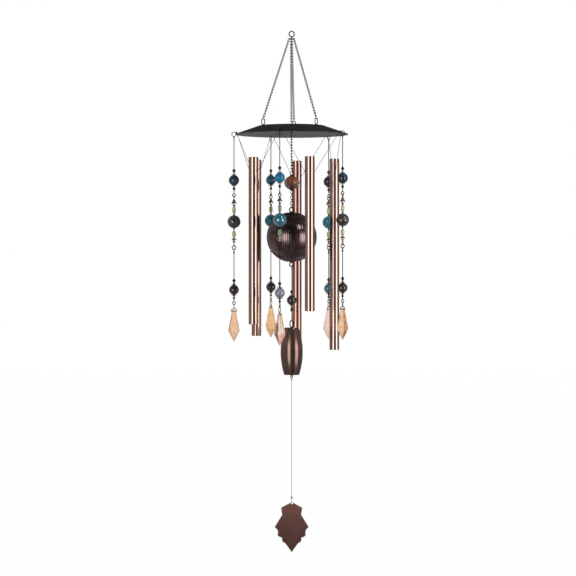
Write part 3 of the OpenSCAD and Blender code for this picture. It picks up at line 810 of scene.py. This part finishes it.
def keep(node, mat, plump=0):
    """Shows a CAD node as it is; plump thickens it by that many millimetres."""
    ob = frame["nodes"][node]
    ob.data.materials.clear()
    ob.data.materials.append(mat)
    if plump:
        fat = ob.modifiers.new("plump", "DISPLACE")
        fat.mid_level, fat.strength = 0.0, plump * MM


# -------------------------------------------------------------- chains and canopy

RIM_CHAIN_AZIMUTHS = (85.6, 202.6, 322.6)
REAR_LINKS = 29           # the first rim chain, at the rear, has one link fewer
MIDDLE_LINKS = 45
CANOPY_MIDDLE_LINKS = 30  # those of the middle chain that belong to the canopy
LINK_TWIST = 45           # degrees
SIDE_WIRE = 0.41          # wire radius along a link's sides
END_SWELL, LAST_SWELL = 0.51, 0.18  # extra radius at a link's ends, and at a chain's ends


def chain_links(shape, start, end, links, side, bearings, first=1, last=None):
    """Closed links from start to end: slim along the sides, heavy where they bear."""
    start, end, side = Vector(start), Vector(end), Vector(side)
    u = (end - start).normalized()
    side = (side - u * side.dot(u)).normalized()
    other = u.cross(side)
    pitch = link_pitch((end - start).length, links, bearings)
    inner = pitch + LINK_SLACK
    half_w = (LINK_WIDTH - LINK_WIRE) / 2
    half_l = (inner + LINK_WIRE) / 2 - half_w
    for k in range(first, (last or links) + 1):
        c = start + u * (inner / 2 - bearings[0] - LINK_PLAY + (k - 1) * pitch)
        # The twist eases off over three links at either end of the chain.
        twist = LINK_TWIST * min(1, (k - 1) / 3, (links - k) / 3)
        t = math.radians(twist + (0 if k % 2 else 90))
        a = side * math.cos(t) + other * math.sin(t)
        path, radii = [], []
        for sign in (1, -1):
            outermost = (k == 1 and sign < 0) or (k == links and sign > 0)
            swell = LAST_SWELL if outermost else END_SWELL
            for j in range(13):
                f = PI * j / 12
                r = SIDE_WIRE + swell * math.sin(f) ** 2
                bend = half_w + r - LINK_WIRE / 2
                x = math.cos(f) * bend * sign
                z = (half_l + math.sin(f) * bend) * sign
                path.append(c + a * x + u * z)
                radii.append(r)
            path.append(c - a * (half_w + SIDE_WIRE - LINK_WIRE / 2) * sign)
            radii.append(SIDE_WIRE)
        shape.add(sweep(path, radii, closed=True), CHAIN)


def middle_chain(shape, first, last):
    chain_links(shape, (-1.3, 0, CHAIN_TOP), (0, 0, -268.05), MIDDLE_LINKS, (0, 1, 0),
                MIDDLE_BEARINGS, first, last)


for node in ("hang_ring", "gather_link", "canopy_rings"):
    keep(node, DARK, plump=0.2)

s = Shape()
for i, azimuth_deg in enumerate(RIM_CHAIN_AZIMUTHS):
    outward = Vector(around(1, math.radians(azimuth_deg), 0))
    chain_links(s, outward * RIM_CHAIN_IN + Vector((0, 0, CHAIN_TOP)),
                outward * RIM_CHAIN_OUT + Vector((0, 0, RIM_CHAIN_LOW)),
                REAR_LINKS if i == 0 else RIM_LINKS, outward, RIM_BEARINGS)
middle_chain(s, 1, CANOPY_MIDDLE_LINKS)
s.build("canopy_chains", "black_wire")
s = Shape()
middle_chain(s, CANOPY_MIDDLE_LINKS + 1, MIDDLE_LINKS)
s.build("clapper_chain", "black_wire")
keep("canopy_dish", CANOPY)
keep("ball_eye_rod", DARK, plump=0.22)
keep("barrel_eye_rod", DARK, plump=0.25)

# ---------------------------------------------------------------- the middle line

# Amber bead outline: radius, height from its centre.
AMBER_PROFILE = [(1.2, -13.3), (4.2, -13.2), (9.4, -10.8), (13.8, -5.9), (15.6, -0.8),
                 (14.8, 4.1), (10.8, 9.6), (4.6, 13.1), (1.2, 13.3), (0.8, 12), (0.8, -12)]


def amber_bead():
    """Twelve-sided bead with softened edges."""
    at = Matrix.Translation((0, 0, centre("amber_bead").z))
    part = revolve(AMBER_PROFILE, 12, turn=PI / 12)
    bead = Shape(at).add(part, AMBER, smooth=False).build("amber_bead", "amber")
    soft = bead.modifiers.new("soft_edges", "BEVEL")
    soft.width, soft.segments = 1.9 * MM, 4
    soft.limit_method, soft.angle_limit = "ANGLE", math.radians(12)
    soft.harden_normals = False
    for p in bead.data.polygons:
        p.use_smooth = True


def striker_ball():
    """Hollow fluted ball, flattened at its poles, with a washer at each."""
    wall, bore, rest = 1.9, 1.9, 8.2     # rest is the radius where the flat begins
    flute_start, flute_depth = 9.5, 0.16
    size = high("striker_ball") - low("striker_ball")
    cz = centre("striker_ball").z
    radius, flat = size.x / 2, size.z / 2
    pole = math.degrees(math.asin((flat - 0.15) / radius))

    def flute(u, r, z):
        if r < flute_start:
            return r, z
        fade = min(1.0, (r - flute_start) / 12)
        p = FLUTES * u / (2 * PI) % 1 - 0.5
        d = flute_depth * fade * math.exp(-(p / 0.15) ** 2)
        q = math.hypot(r, z - cz)
        return r * (1 - d / q), cz + (z - cz) * (1 - d / q)

    loop = arc(0, cz, radius, -pole, pole, 110)
    loop += [(rest, cz + flat - 0.05), (bore, cz + flat), (bore, cz + flat - wall)]
    loop += arc(0, cz, radius - wall, pole, -pole, 40)[1:-1]
    loop += [(bore, cz - flat + wall), (bore, cz - flat), (rest, cz - flat + 0.05)]
    shape = Shape().add(revolve(loop, FLUTES * 12, flute), BALL)
    # Washer outline: radius, height above the flat.
    washer = [(bore, 0), (4.3, 0), (4.6, 0.35), (3.9, 0.8), (bore, 0.8)]
    shape.add(revolve([(r, cz + flat + h) for r, h in washer], 40), WIRE)
    mirrored = washer[:1] + washer[:0:-1]
    shape.add(revolve([(r, cz - flat - h) for r, h in mirrored], 40), WIRE)
    shape.build("striker_ball", "ball_bronze")


def barrel_weight():
    """Hollow barrel with a gently bowed side and a shallow recess at each end."""
    bow, lip, wall = 147, 0.9, 2.6
    top, bottom = high("barrel_weight").z, low("barrel_weight").z
    radius, cz = high("barrel_weight").x, centre("barrel_weight").z - 1.5
    down = math.degrees(math.asin((cz - bottom - lip) / bow))
    up = math.degrees(math.asin((top - cz - lip) / bow))
    loop = arc(radius - bow, cz, bow, -down, up, 48)
    r_top, r_bottom = loop[-1][0], loop[0][0]
    loop += [(r_top - 0.35, top - 0.25), (r_top - 1.1, top), (5.4, top), (5.0, top - 0.5),
             (1.9, top - 0.5), (1.9, top - wall), (r_top - 4, top - wall), (radius - 2, cz),
             (r_bottom - 4, bottom + wall), (1.9, bottom + wall), (1.9, bottom + 0.5),
             (5.0, bottom + 0.5), (5.4, bottom), (r_bottom - 1.1, bottom),
             (r_bottom - 0.35, bottom + 0.25)]
    Shape().add(revolve(loop, 96), BARREL).build("barrel_weight", "barrel_bronze")


def tail_cord():
    """Cord between ball and barrel, with the maroon bead and its caps."""
    bead_z, bead_r, cap_width = -520, 9.4, 11.5
    shape = Shape()
    shape.add(ring(z=-454.55, radius=2, wire=1.1, plane="y"), WIRE)
    shape.add(ring(z=-559.25, radius=2, wire=1.1, plane="y"), WIRE)
    shape.add(sweep(axis_line(-556.9, -457.0, 0.35), 0.5, 12, strands=3), CORD)
    for z in (-458.4, -555.6):
        sleeve = [(0.62, z - 1.6), (1.15, z - 1.6), (1.3, z - 1.2), (1.1, z),
                  (1.3, z + 1.2), (1.15, z + 1.6), (0.62, z + 1.6)]
        shape.add(revolve(sleeve, 24), WIRE)
    shape.add(bicone(z=-503.7, width=7, height=7), JET, smooth=False)
    shape.add(petal_cap(bead_z, bead_r, cap_width, end=-507.5, side=1), GOLD)
    shape.add(round_bead(bead_z, bead_r, seed=3), MAROON)
    shape.add(petal_cap(bead_z, bead_r, cap_width, end=-533.4, side=-1), GOLD)
    shape.add(bicone(z=-538.2, width=6.4, height=8.6), JET, smooth=False)
    shape.build("tail_cord", "maroon_bead")


# Knots at the top and bottom of the sail cord: radius, z.
SAIL_KNOTS = [
    [(0.3, -676.3), (0.95, -676.0), (1.3, -675.2), (1.2, -674.3), (0.7, -673.6), (0.3, -673.6)],
    [(0.3, -904.2), (0.8, -903.9), (1.0, -903.2), (0.8, -902.3), (0.3, -902.1)],
]


def sail_cord():
    def lumpy(u, r, z):
        return r * (1 + 0.12 * math.sin(3 * u + z * 4)), z

    shape = Shape()
    shape.add(ring(z=-671.4, radius=1.9, wire=1, plane="y"), WIRE)
    shape.add(sweep(axis_line(-904.6, -673.4, 0.4), 0.45, strands=3), CORD)
    for knot in SAIL_KNOTS:
        shape.add(revolve(knot, 20, lumpy), CORD)
    shape.add(ring(z=-906.1, radius=1.5, wire=1.1, plane="x"), WIRE)
    shape.build("sail_cord", "cord")


# Right half of the sail from its apex: x, depth below the apex, 1 at a corner or 0 on a curve.
SAIL_HEIGHT = 98
SAIL_HALF = [(20.7, 11.4, 1), (18.5, 25, 1), (33.2, 49, 1), (28.6, 53.8, 0), (26.7, 59.6, 0),
             (27.7, 65.2, 1), (23.8, 68.0, 0), (18.9, 69.8, 1), (18.6, 75.0, 0),
             (16.8, 78.4, 0), (12.3, 81.3, 0), (0, SAIL_HEIGHT, 1)]
SAIL_HOLE_RADIUS, SAIL_HOLE_DEPTH = 1.9, 2.6
SAIL_HALF_THICKNESS, SAIL_EDGE = 0.4, 0.2


def spline(a, b, c, d, t):
    """Catmull-Rom value between b and c."""
    return 0.5 * (2 * b + (c - a) * t + (2 * a - 5 * b + 4 * c - d) * t * t
                  + (3 * b - a - 3 * c + d) * t ** 3)


def smooth_outline(points):
    """Straight between neighbouring corners, smooth through the points between others."""
    out, run = [(0.0, 0.0)], [(0.0, 0.0)]
    for x, z, corner in points:
        run.append((x, z))
        if not corner:
            continue
        if len(run) == 2:
            out.append(run[1])
        else:
            p = [run[0]] + run + [run[-1]]
            for i in range(1, len(p) - 2):
                for k in range(1, 7):
                    out.append(tuple(spline(*v, k / 6) for v in zip(*p[i - 1:i + 3])))
        run = [(x, z)]
    return out


def sail_sheet():
    """Vertices in millimetres and faces of the cut sheet, standing in the XZ plane."""
    apex = low("wind_sail").z + SAIL_HEIGHT
    side = smooth_outline(SAIL_HALF)
    outline = side + [(-x, z) for x, z in side[-2:0:-1]]
    hole = [(SAIL_HOLE_RADIUS * math.cos(k * PI / 16),
             SAIL_HOLE_DEPTH + SAIL_HOLE_RADIUS * math.sin(k * PI / 16)) for k in range(32)]
    curve = bpy.data.curves.new("sail_outline", "CURVE")
    curve.dimensions, curve.fill_mode = "2D", "BOTH"
    curve.extrude, curve.bevel_depth = SAIL_HALF_THICKNESS * MM, SAIL_EDGE * MM
    curve.bevel_resolution, curve.offset = 2, -SAIL_EDGE * MM
    for pts in (outline, hole):
        loop = curve.splines.new("POLY")
        loop.points.add(len(pts) - 1)
        for p, (x, z) in zip(loop.points, pts):
            p.co = (x * MM, -z * MM, 0, 1)
        loop.use_cyclic_u = True
    flat = bpy.data.objects.new("sail_outline", curve)
    bpy.context.scene.collection.objects.link(flat)
    bpy.context.view_layer.update()
    mesh = bpy.data.meshes.new_from_object(flat)
    bpy.data.objects.remove(flat)
    mesh.transform(Matrix.Translation((0, 0, apex * MM)) @ Matrix.Rotation(PI / 2, 4, "X"))
    part = [v.co / MM for v in mesh.vertices], [tuple(p.vertices) for p in mesh.polygons]
    bpy.data.meshes.remove(mesh)
    return part


def wind_sail():
    shape = Shape().add(sail_sheet(), SAIL, smooth=False)
    shape.add(ring(z=-910.85, radius=1.8, wire=1, plane="y", stretch=2.6), WIRE)
    shape.build("wind_sail", "sail_copper")


amber_bead()
keep("amber_chain", DARK)
striker_ball()
barrel_weight()
tail_cord()
sail_cord()
wind_sail()

# --------------------------------------------------------------- tubes and slings

STRANDS = ("left", "front", "right", "rear_right", "rear_left")
# Each tube hangs between two strands, counted anticlockwise from above.
TUBES = {"a": ("left", "front"), "b": ("rear_left", "left"), "c": ("front", "right"),
         "d": ("rear_right", "rear_left"), "e": ("right", "rear_right")}
TUBE_OUTER, TUBE_INNER = 9.5, 8.0
HOLE_Z, HOLE_RADIUS = -273, 1.1
SLING_TOP, SLING_REACH = -194.881, 107.4   # height and distance from the axis at the canopy
SLING_LOW, SLING_HALF = -272.45, 10.4      # height and half width where it passes the tube
SLING_INSET = 1.8                          # degrees between a sling's end and its strand


def strand_azimuth(name):
    c = centre(f"strand_{name}_upper_bead")
    return math.degrees(math.atan2(c.y, c.x)) % 360


azimuth = {name: strand_azimuth(name) for name in STRANDS}


def tube_profile(bottom, top):
    ro, ri = TUBE_OUTER, TUBE_INNER
    loop = [(ro, bottom + 0.35), (ro, bottom + 0.6)]
    loop += [(ro, bottom + 1.0 + (top - bottom - 2.0) * i / 40) for i in range(41)]
    return loop + [
        (ro, top - 0.6), (ro, top - 0.35), (ro - 0.12, top - 0.12), (ro - 0.4, top),
        (ri + 0.3, top), (ri + 0.08, top - 0.1), (ri, top - 0.4), (ri, top - 0.8),
        (ri, bottom + 0.8), (ri, bottom + 0.4), (ri + 0.08, bottom + 0.1),
        (ri + 0.3, bottom), (ro - 0.4, bottom), (ro - 0.12, bottom + 0.12)]


def drill(ob, key, place):
    """Cuts the cord's hole through both walls."""
    mesh = bpy.data.meshes.new("cut")
    verts, faces = sweep([(0, -20, HOLE_Z), (0, 20, HOLE_Z)], HOLE_RADIUS, 24)
    mesh.from_pydata([(place @ Vector(v)) * MM for v in verts], [], faces)
    cutter = bpy.data.objects.new("cut_" + key, mesh)
    bpy.context.scene.collection.objects.link(cutter)
    cut = ob.modifiers.new("cord_hole", "BOOLEAN")
    cut.operation, cut.object, cut.solver = "DIFFERENCE", cutter, "EXACT"
    bpy.context.view_layer.update()
    drilled = ob.evaluated_get(bpy.context.evaluated_depsgraph_get())
    result = bpy.data.meshes.new_from_object(drilled)
    ob.modifiers.clear()
    ob.data = result
    result.name = "v_tube_" + key
    result.set_sharp_from_angle(angle=math.radians(30))
    bpy.data.objects.remove(cutter)


def knot_path(middle, up):
    """Trefoil about a point of the cord."""
    path = []
    for k in range(40):
        t = k * 2 * PI / 40
        ring_point = around(0.6 + 0.22 * math.cos(3 * t), 2 * t, 0)
        path.append(middle + up * (0.7 * math.sin(3 * t)) + Vector(ring_point))
    return path


def sling(key, place, turn, half_angle):
    """Cord from the canopy, through the tube and back up, knotted at both ends."""
    shape = Shape(place)
    inverse = place.inverted()
    for sign in (-1, 1):
        top = inverse @ Vector(around(SLING_REACH, turn + sign * half_angle, SLING_TOP))
        bottom = Vector((0, sign * SLING_HALF, SLING_LOW))
        up = (top - bottom).normalized()
        shape.add(sweep(line(bottom, top + up * 3.1, 0.4), 0.45, strands=3), CORD)
        shape.add(sweep(knot_path(top + up * 2.65, up), 0.4, 8, closed=True), CORD)
    across = line((0, -SLING_HALF, SLING_LOW), (0, SLING_HALF, SLING_LOW), 0.4)
    shape.add(sweep(across, 0.45, strands=3), CORD)
    for sign in (-1, 1):
        shape.add(grain((0, sign * SLING_HALF, SLING_LOW), 0.5), CORD)
    shape.build("sling_" + key, "cord")


for key, (before, after) in TUBES.items():
    node = "tube_" + key
    c = centre(node)
    start, end = azimuth[before], azimuth[after]
    if end < start:
        end += 360
    turn = math.radians((start + end) / 2)
    place = Matrix.Translation((c.x, c.y, 0)) @ Matrix.Rotation(turn, 4, "Z")
    wall = revolve(tube_profile(low(node).z, high(node).z), 72)
    tube = Shape(place).add(wall, TUBE_REAR if key == "d" else TUBE).build(node, "tube_bronze")
    drill(tube, key, place)
    sling(key, place, turn, math.radians((end - start) / 2 - SLING_INSET))

# ------------------------------------------------------------------------ strands

# Heights are those of a strand with its beads here; each strand shifts them to its own beads.
UPPER_Z, MIDDLE_Z, LOWER_Z = -286.2, -366.9, -499.6

# Upper, middle and lower beads, drop, green glass, and the slots of the first four.
SIDE_LOOK = (NAVY, CHARCOAL, MAROON, PEACH, GREEN,
             ("navy_bead", "charcoal_beads", "maroon_bead", "amber_crystal"))
LOOKS = {
    "left": SIDE_LOOK,
    "front": (TURQUOISE, IRIS, LAVENDER, PINK, LEAF,
              ("turquoise_bead", "teal_beads", "lavender_bead", "pink_crystal")),
    "right": SIDE_LOOK,
    "rear_right": (VIOLET, AQUA, SEA_TEAL, PINK, GREEN,
                   ("violet_bead", "teal_beads", "teal_bead", "pink_crystal")),
    "rear_left": (TEAL_BLUE, TEAL, DARK_TEAL, GOLDEN, OLIVE,
                  ("teal_bead", "teal_beads", "navy_bead", "amber_crystal")),
}
# Turned sleeves on the cord, at the hook and below the middle beads: radius, z.
HOOK_SLEEVE = [(0.72, -205.2), (1.15, -205.0), (1.35, -204.2), (1.15, -203.4),
               (1.35, -202.2), (1.15, -201.6), (0.72, -201.5)]
CORD_SLEEVE = [(0.62, -429), (1.25, -429), (1.5, -428.4), (1.5, -427.3), (1.2, -426.7),
               (1.5, -426.1), (1.5, -425.0), (1.2, -424.3), (0.62, -424.2)]
# Wire loop that holds the drop: x, y, z of its corners.
BAIL = [(0, 0, -535.1), (4.9, 0, -538.1), (4.9, 0, -541.5), (-4.9, 0, -541.5),
        (-4.9, 0, -538.1)]
# Cut drop: radius, height above its tip.
DROP_TIP = -600.4
DROP = [(0.5, 0.3), (3.4, 6.0), (7.9, 14.4), (11.0, 22.0), (10.3, 27.0), (8.6, 35.0),
        (6.4, 46.0), (4.5, 57.4), (3.4, 61.6), (1.6, 62.3)]


def strand_cord(start, end, pitch):
    return sweep(axis_line(start, end, 0.4), 0.85, 12, strands=3, pitch=pitch, depth=0.16)


def upper_findings(node, place, up, shift, radius, cap):
    """Hook ring, cord, and the wire with the caps and bicones of the upper bead."""
    s = Shape(up)
    s.add(ring(z=-196.6, radius=4.4, wire=1.4, plane="x"), DARK, at=place)
    s.add(strand_cord(-200.9, -263.6 + shift, pitch=3.0), CORD, at=place)
    s.add(sweep(axis_line(-262.5, -312.6, 2), 0.65, 12), DARK)
    s.add(revolve(HOOK_SLEEVE, 24), DARK, at=place)
    s.add(ring(z=-315, radius=2.9, wire=1.7, plane="x"), DARK)
    s.add(coil(top=-306.7, drop=0.105, count=50, wire=0.3), DARK)
    s.add(bicone(z=-267.7, width=7.4, height=7.4), JET, smooth=False)
    s.add(petal_cap(UPPER_Z, radius, width=11.8, end=-271.6, side=1), cap)
    s.add(petal_cap(UPPER_Z, radius, width=11.8, end=-299, side=-1), cap)
    s.add(bicone(z=-302.7, width=6.2, height=7), JET, smooth=False)
    s.build(node + "upper_findings", "findings")


def middle_findings(node, up, radius, front, number):
    """Wire with a ring at each end, cone caps, spacers and the lowest small bead."""
    s = Shape(up)
    s.add(ring(z=-319.45, radius=2.9, wire=1.7, plane="y"), DARK)
    s.add(sweep(axis_line(-322.1, -409.7, 2), 0.6, 12), DARK)
    s.add(coil(top=-408.3, drop=0.02, count=24, wire=0.28), DARK)
    s.add(ring(z=-412.3, radius=2.9, wire=1.6, plane="y"), DARK)
    s.add(cone_petals(z=-327.9, width=10.6, height=8.8), CONE)
    for sign in (1, -1):
        near = MIDDLE_Z + sign * (radius + 0.3)
        far = MIDDLE_Z + sign * 15.9
        spacer = [(0.62, near), (2.0, near), (2.4, near + sign * 0.35),
                  (2.1, near + sign * 0.9), (1.3, (near + far) / 2), (1.7, far - sign * 0.7),
                  (1.5, far), (0.62, far)]
        s.add(revolve(spacer[::sign], 28), SPACER)
    s.add(cone_petals(z=-400.6, width=10.8, height=4.4), SILVER if front else CONE)
    s.add(round_bead(-405.5, 2.6, bore=0.55, seed=30 + number), GILT if front else GOLD)
    s.build(node + "middle_findings", "findings")


def middle_beads(node, up, radius, stone_mat, green, slot, number):
    """Round bead between two long green ones, with a small jet bead on top."""
    s = Shape(up)
    s.add(round_bead(-335.4, 2.4, bore=0.55, seed=40 + number), JET)
    s.add(rice_bead(-344.4), green)
    s.add(round_bead(MIDDLE_Z, radius, n=72, seed=20 + number), stone_mat)
    s.add(rice_bead(-391.2), green)
    s.build(node + "middle_beads", slot)


def lower_findings(node, place, up, lower, shifts, radius):
    """Rings, cord, and the caps and bicones of the lower bead."""
    s = Shape(lower)
    s.add(ring(z=-417.55, radius=3.65, wire=1.75, plane="x"), DARK, at=up)
    s.add(ring(z=-421.55, radius=1.6, wire=1.3, plane="y"), DARK, at=up)
    s.add(revolve(CORD_SLEEVE, 28), DARK, at=up)
    s.add(strand_cord(-423.2 + shifts[0], -519.7 + shifts[1], pitch=2.6), CORD, at=place)
    s.add(bicone(z=-481.8, width=7, height=8), JET, smooth=False)
    s.add(petal_cap(LOWER_Z, radius, width=12, end=-486.1, side=1), DULL)
    s.add(petal_cap(LOWER_Z, radius, width=12, end=-512.6, side=-1), DULL)
    s.add(bicone(z=-515.6, width=5.6, height=5), JET, smooth=False)
    s.add(ring(z=-521.5, radius=1.9, wire=1.1, plane="y"), DARK)
    s.build(node + "lower_findings", "findings")


def drop(node, lower, crystal_mat, slot):
    """Cut drop with its bail and two links."""
    s = Shape(lower)
    s.add(ring(z=-525.1, radius=2.95, wire=1.35, plane="x"), DARK)
    s.add(ring(z=-531.65, radius=1.8, wire=1.3, plane="y", stretch=2.95), DARK)
    bail = []
    for i, corner in enumerate(BAIL):
        bail += line(corner, BAIL[(i + 1) % len(BAIL)], 0.8)[:-1]
    s.add(sweep(bail, 0.62, 12, closed=True), DARK)
    s.add(icicle(DROP_TIP, DROP), crystal_mat, smooth=False)
    s.build(node + "drop", slot)


def strand(number, name):
    upper_mat, middle_mat, lower_mat, crystal_mat, green, slots = LOOKS[name]
    node = f"strand_{name}_"
    bead = centre(node + "upper_bead")
    shifts = bead.z - UPPER_Z, centre(node + "lower_bead").z - LOWER_Z
    upper_size, middle_size, lower_size = (
        high(node + part) - low(node + part)
        for part in ("upper_bead", "middle_beads", "lower_bead"))
    upper_r, lower_r = upper_size.z / 2, lower_size.z / 2
    middle_r = max(middle_size.x, middle_size.y) / 2
    turned = Matrix.Rotation(math.radians(azimuth[name]), 4, "Z")
    place = Matrix.Translation((bead.x, bead.y, 0)) @ turned
    up, lower = (place @ Matrix.Translation((0, 0, shift)) for shift in shifts)
    front = name == "front"

    upper_findings(node, place, up, shifts[0], upper_r, SILVER if front else IVORY)
    upper_bead = round_bead(UPPER_Z, upper_r, seed=10 + number)
    Shape(up).add(upper_bead, upper_mat).build(node + "upper_bead", slots[0])
    middle_findings(node, up, middle_r, front, number)
    middle_beads(node, up, middle_r, middle_mat, green, slots[1], number)
    lower_findings(node, place, up, lower, shifts, lower_r)
    lower_bead = round_bead(LOWER_Z, lower_r, seed=50 + number)
    Shape(lower).add(lower_bead, lower_mat).build(node + "lower_bead", slots[2])
    drop(node, lower, crystal_mat, slots[3])


for number, name in enumerate(STRANDS):
    strand(number, name)

# ---------------------------------------------------------------- stage and light

scene = bpy.context.scene
FLOOR_Z, FLOOR_SIDE, FLOOR_CELLS = -1.3, 40.0, 40   # metres, metres, cells a side


def pale_floor():
    """White to the eye, dimmer as a light source, and absent from reflections."""
    material = bpy.data.materials.new("pale_floor")
    n = Nodes(material)
    out = n.node("ShaderNodeOutputMaterial")
    glow = n.node("ShaderNodeEmission")
    rays = n.node("ShaderNodeLightPath").outputs
    seen = n.maths("MAXIMUM", rays["Is Camera Ray"], rays["Is Transmission Ray"])
    # The light it gives is weakest under the object and grows outward.
    away = n.node("ShaderNodeVectorMath", operation="DISTANCE")
    n.plug(away.inputs[0], n.node("ShaderNodeNewGeometry").outputs["Position"])
    away.inputs[1].default_value = (0, 0, FLOOR_Z)
    pool = n.span(away.outputs["Value"], to=(0.13, 0.55), source=(1.2, 9.0),
                  interpolation_type="SMOOTHSTEP")
    diffuse_lift = 0.35
    pool = n.maths("MULTIPLY_ADD", rays["Is Diffuse Ray"], diffuse_lift, pool)
    cloud = n.node("ShaderNodeTexNoise")
    cloud.inputs["Scale"].default_value = 0.7
    n.plug(glow.inputs[0], n.ramp(cloud.outputs[0], (0, (0.99, 0.99, 0.99)), (1, (1, 1, 1))))
    n.plug(glow.inputs[1], n.choose(seen, off=pool, on=1.0))
    pick = n.node("ShaderNodeMixShader")
    n.plug(pick.inputs[0], rays["Is Glossy Ray"])
    n.plug(pick.inputs[1], glow.outputs[0])
    n.plug(pick.inputs[2], n.node("ShaderNodeBsdfTransparent").outputs[0])
    n.plug(out.inputs[0], pick.outputs[0])
    return material


def floor():
    mesh = bpy.data.meshes.new("floor")
    steps = [FLOOR_SIDE * (i / FLOOR_CELLS - 0.5) for i in range(FLOOR_CELLS + 1)]
    row = FLOOR_CELLS + 1
    faces = [(j * row + i, j * row + i + 1, (j + 1) * row + i + 1, (j + 1) * row + i)
             for j in range(FLOOR_CELLS) for i in range(FLOOR_CELLS)]
    mesh.from_pydata([(x, y, FLOOR_Z) for y in steps for x in steps], [], faces)
    ob = bpy.data.objects.new("floor", mesh)
    scene.collection.objects.link(ob)
    mesh.materials.append(pale_floor())


# Angles are in degrees. Azimuth 0 is toward the camera (-Y) and grows toward +X.
STRIP_STRENGTH = 3.2
STRIPS = [(-29, 14), (54, 16)]   # tall strip lights: azimuth, half width
# Patches of light: azimuth, half width, elevation, half height, strength, softness.
PATCHES = [
    (44, 6, 44, 8, 9.0, 3),
    (-104, 50, 0, 60, 0.24, 24),
    (118, 44, 0, 60, 0.17, 20),
    (0, 190, 90, 26, 0.22, 20),
    (0, 190, -60, 46, 0.12, 30),
]
AMBIENT = 0.055
DIFFUSE_LIFT = 0.3               # extra light for diffuse rays


def studio():
    """White to the eye; lights painted on a dim surround for every other ray."""
    world = bpy.data.worlds.new("studio")
    scene.world = world
    n = Nodes(world)

    def times(a, b):
        return n.maths("MULTIPLY", a, b)

    def window(value, middle, half, soft):
        """1 inside middle +- half, fading to 0 over soft."""
        off = n.maths("ABSOLUTE", n.maths("SUBTRACT", value, middle))
        return n.span(off, to=(0, 1), source=(half + soft / 2, half - soft / 2),
                      interpolation_type="SMOOTHSTEP")

    def strip(middle, half):
        """Tall soft strip light, brightest at the height of the object."""
        wide = times(window(elevation, middle=-4, half=26, soft=26), 0.22)
        core = times(window(elevation, middle=-2, half=15, soft=12), 0.78)
        across = window(around_z, middle, half, soft=5)
        return times(times(across, n.maths("ADD", wide, core)), STRIP_STRENGTH)

    x, y, z = n.axes(n.node("ShaderNodeTexCoord").outputs["Generated"])
    around_z = times(n.maths("ARCTAN2", x, times(y, -1.0)), 180 / PI)
    elevation = times(n.maths("ARCSINE", z), 180 / PI)
    level = n.maths("ADD", *(strip(*row) for row in STRIPS))
    for middle, half, height, half_height, strength, soft in PATCHES:
        patch = times(window(around_z, middle, half, soft),
                      window(elevation, height, half_height, soft))
        level = n.maths("ADD", level, times(patch, strength))
    level = n.maths("ADD", level, AMBIENT)
    rays = n.node("ShaderNodeLightPath").outputs
    level = n.maths("ADD", level, times(rays["Is Diffuse Ray"], DIFFUSE_LIFT))
    seen = n.maths("MAXIMUM", rays["Is Camera Ray"], rays["Is Transmission Ray"])
    background = n.node("ShaderNodeBackground")
    background.inputs[0].default_value = (1.0, 1.0, 1.0, 1)
    n.plug(background.inputs[1], n.choose(seen, off=level, on=1.0))
    n.plug(n.node("ShaderNodeOutputWorld").inputs[0], background.outputs[0])


def camera():
    lens = bpy.data.cameras.new("camera")
    lens.lens, lens.sensor_width, lens.clip_end = 161.0, 36.0, 100
    eye = bpy.data.objects.new("camera", lens)
    eye.location = (-0.0072, -5.031, -0.496)
    eye.rotation_euler = (PI / 2, 0, 0)
    scene.collection.objects.link(eye)
    scene.camera = eye


floor()
studio()
scene.view_settings.view_transform = "Standard"
camera()
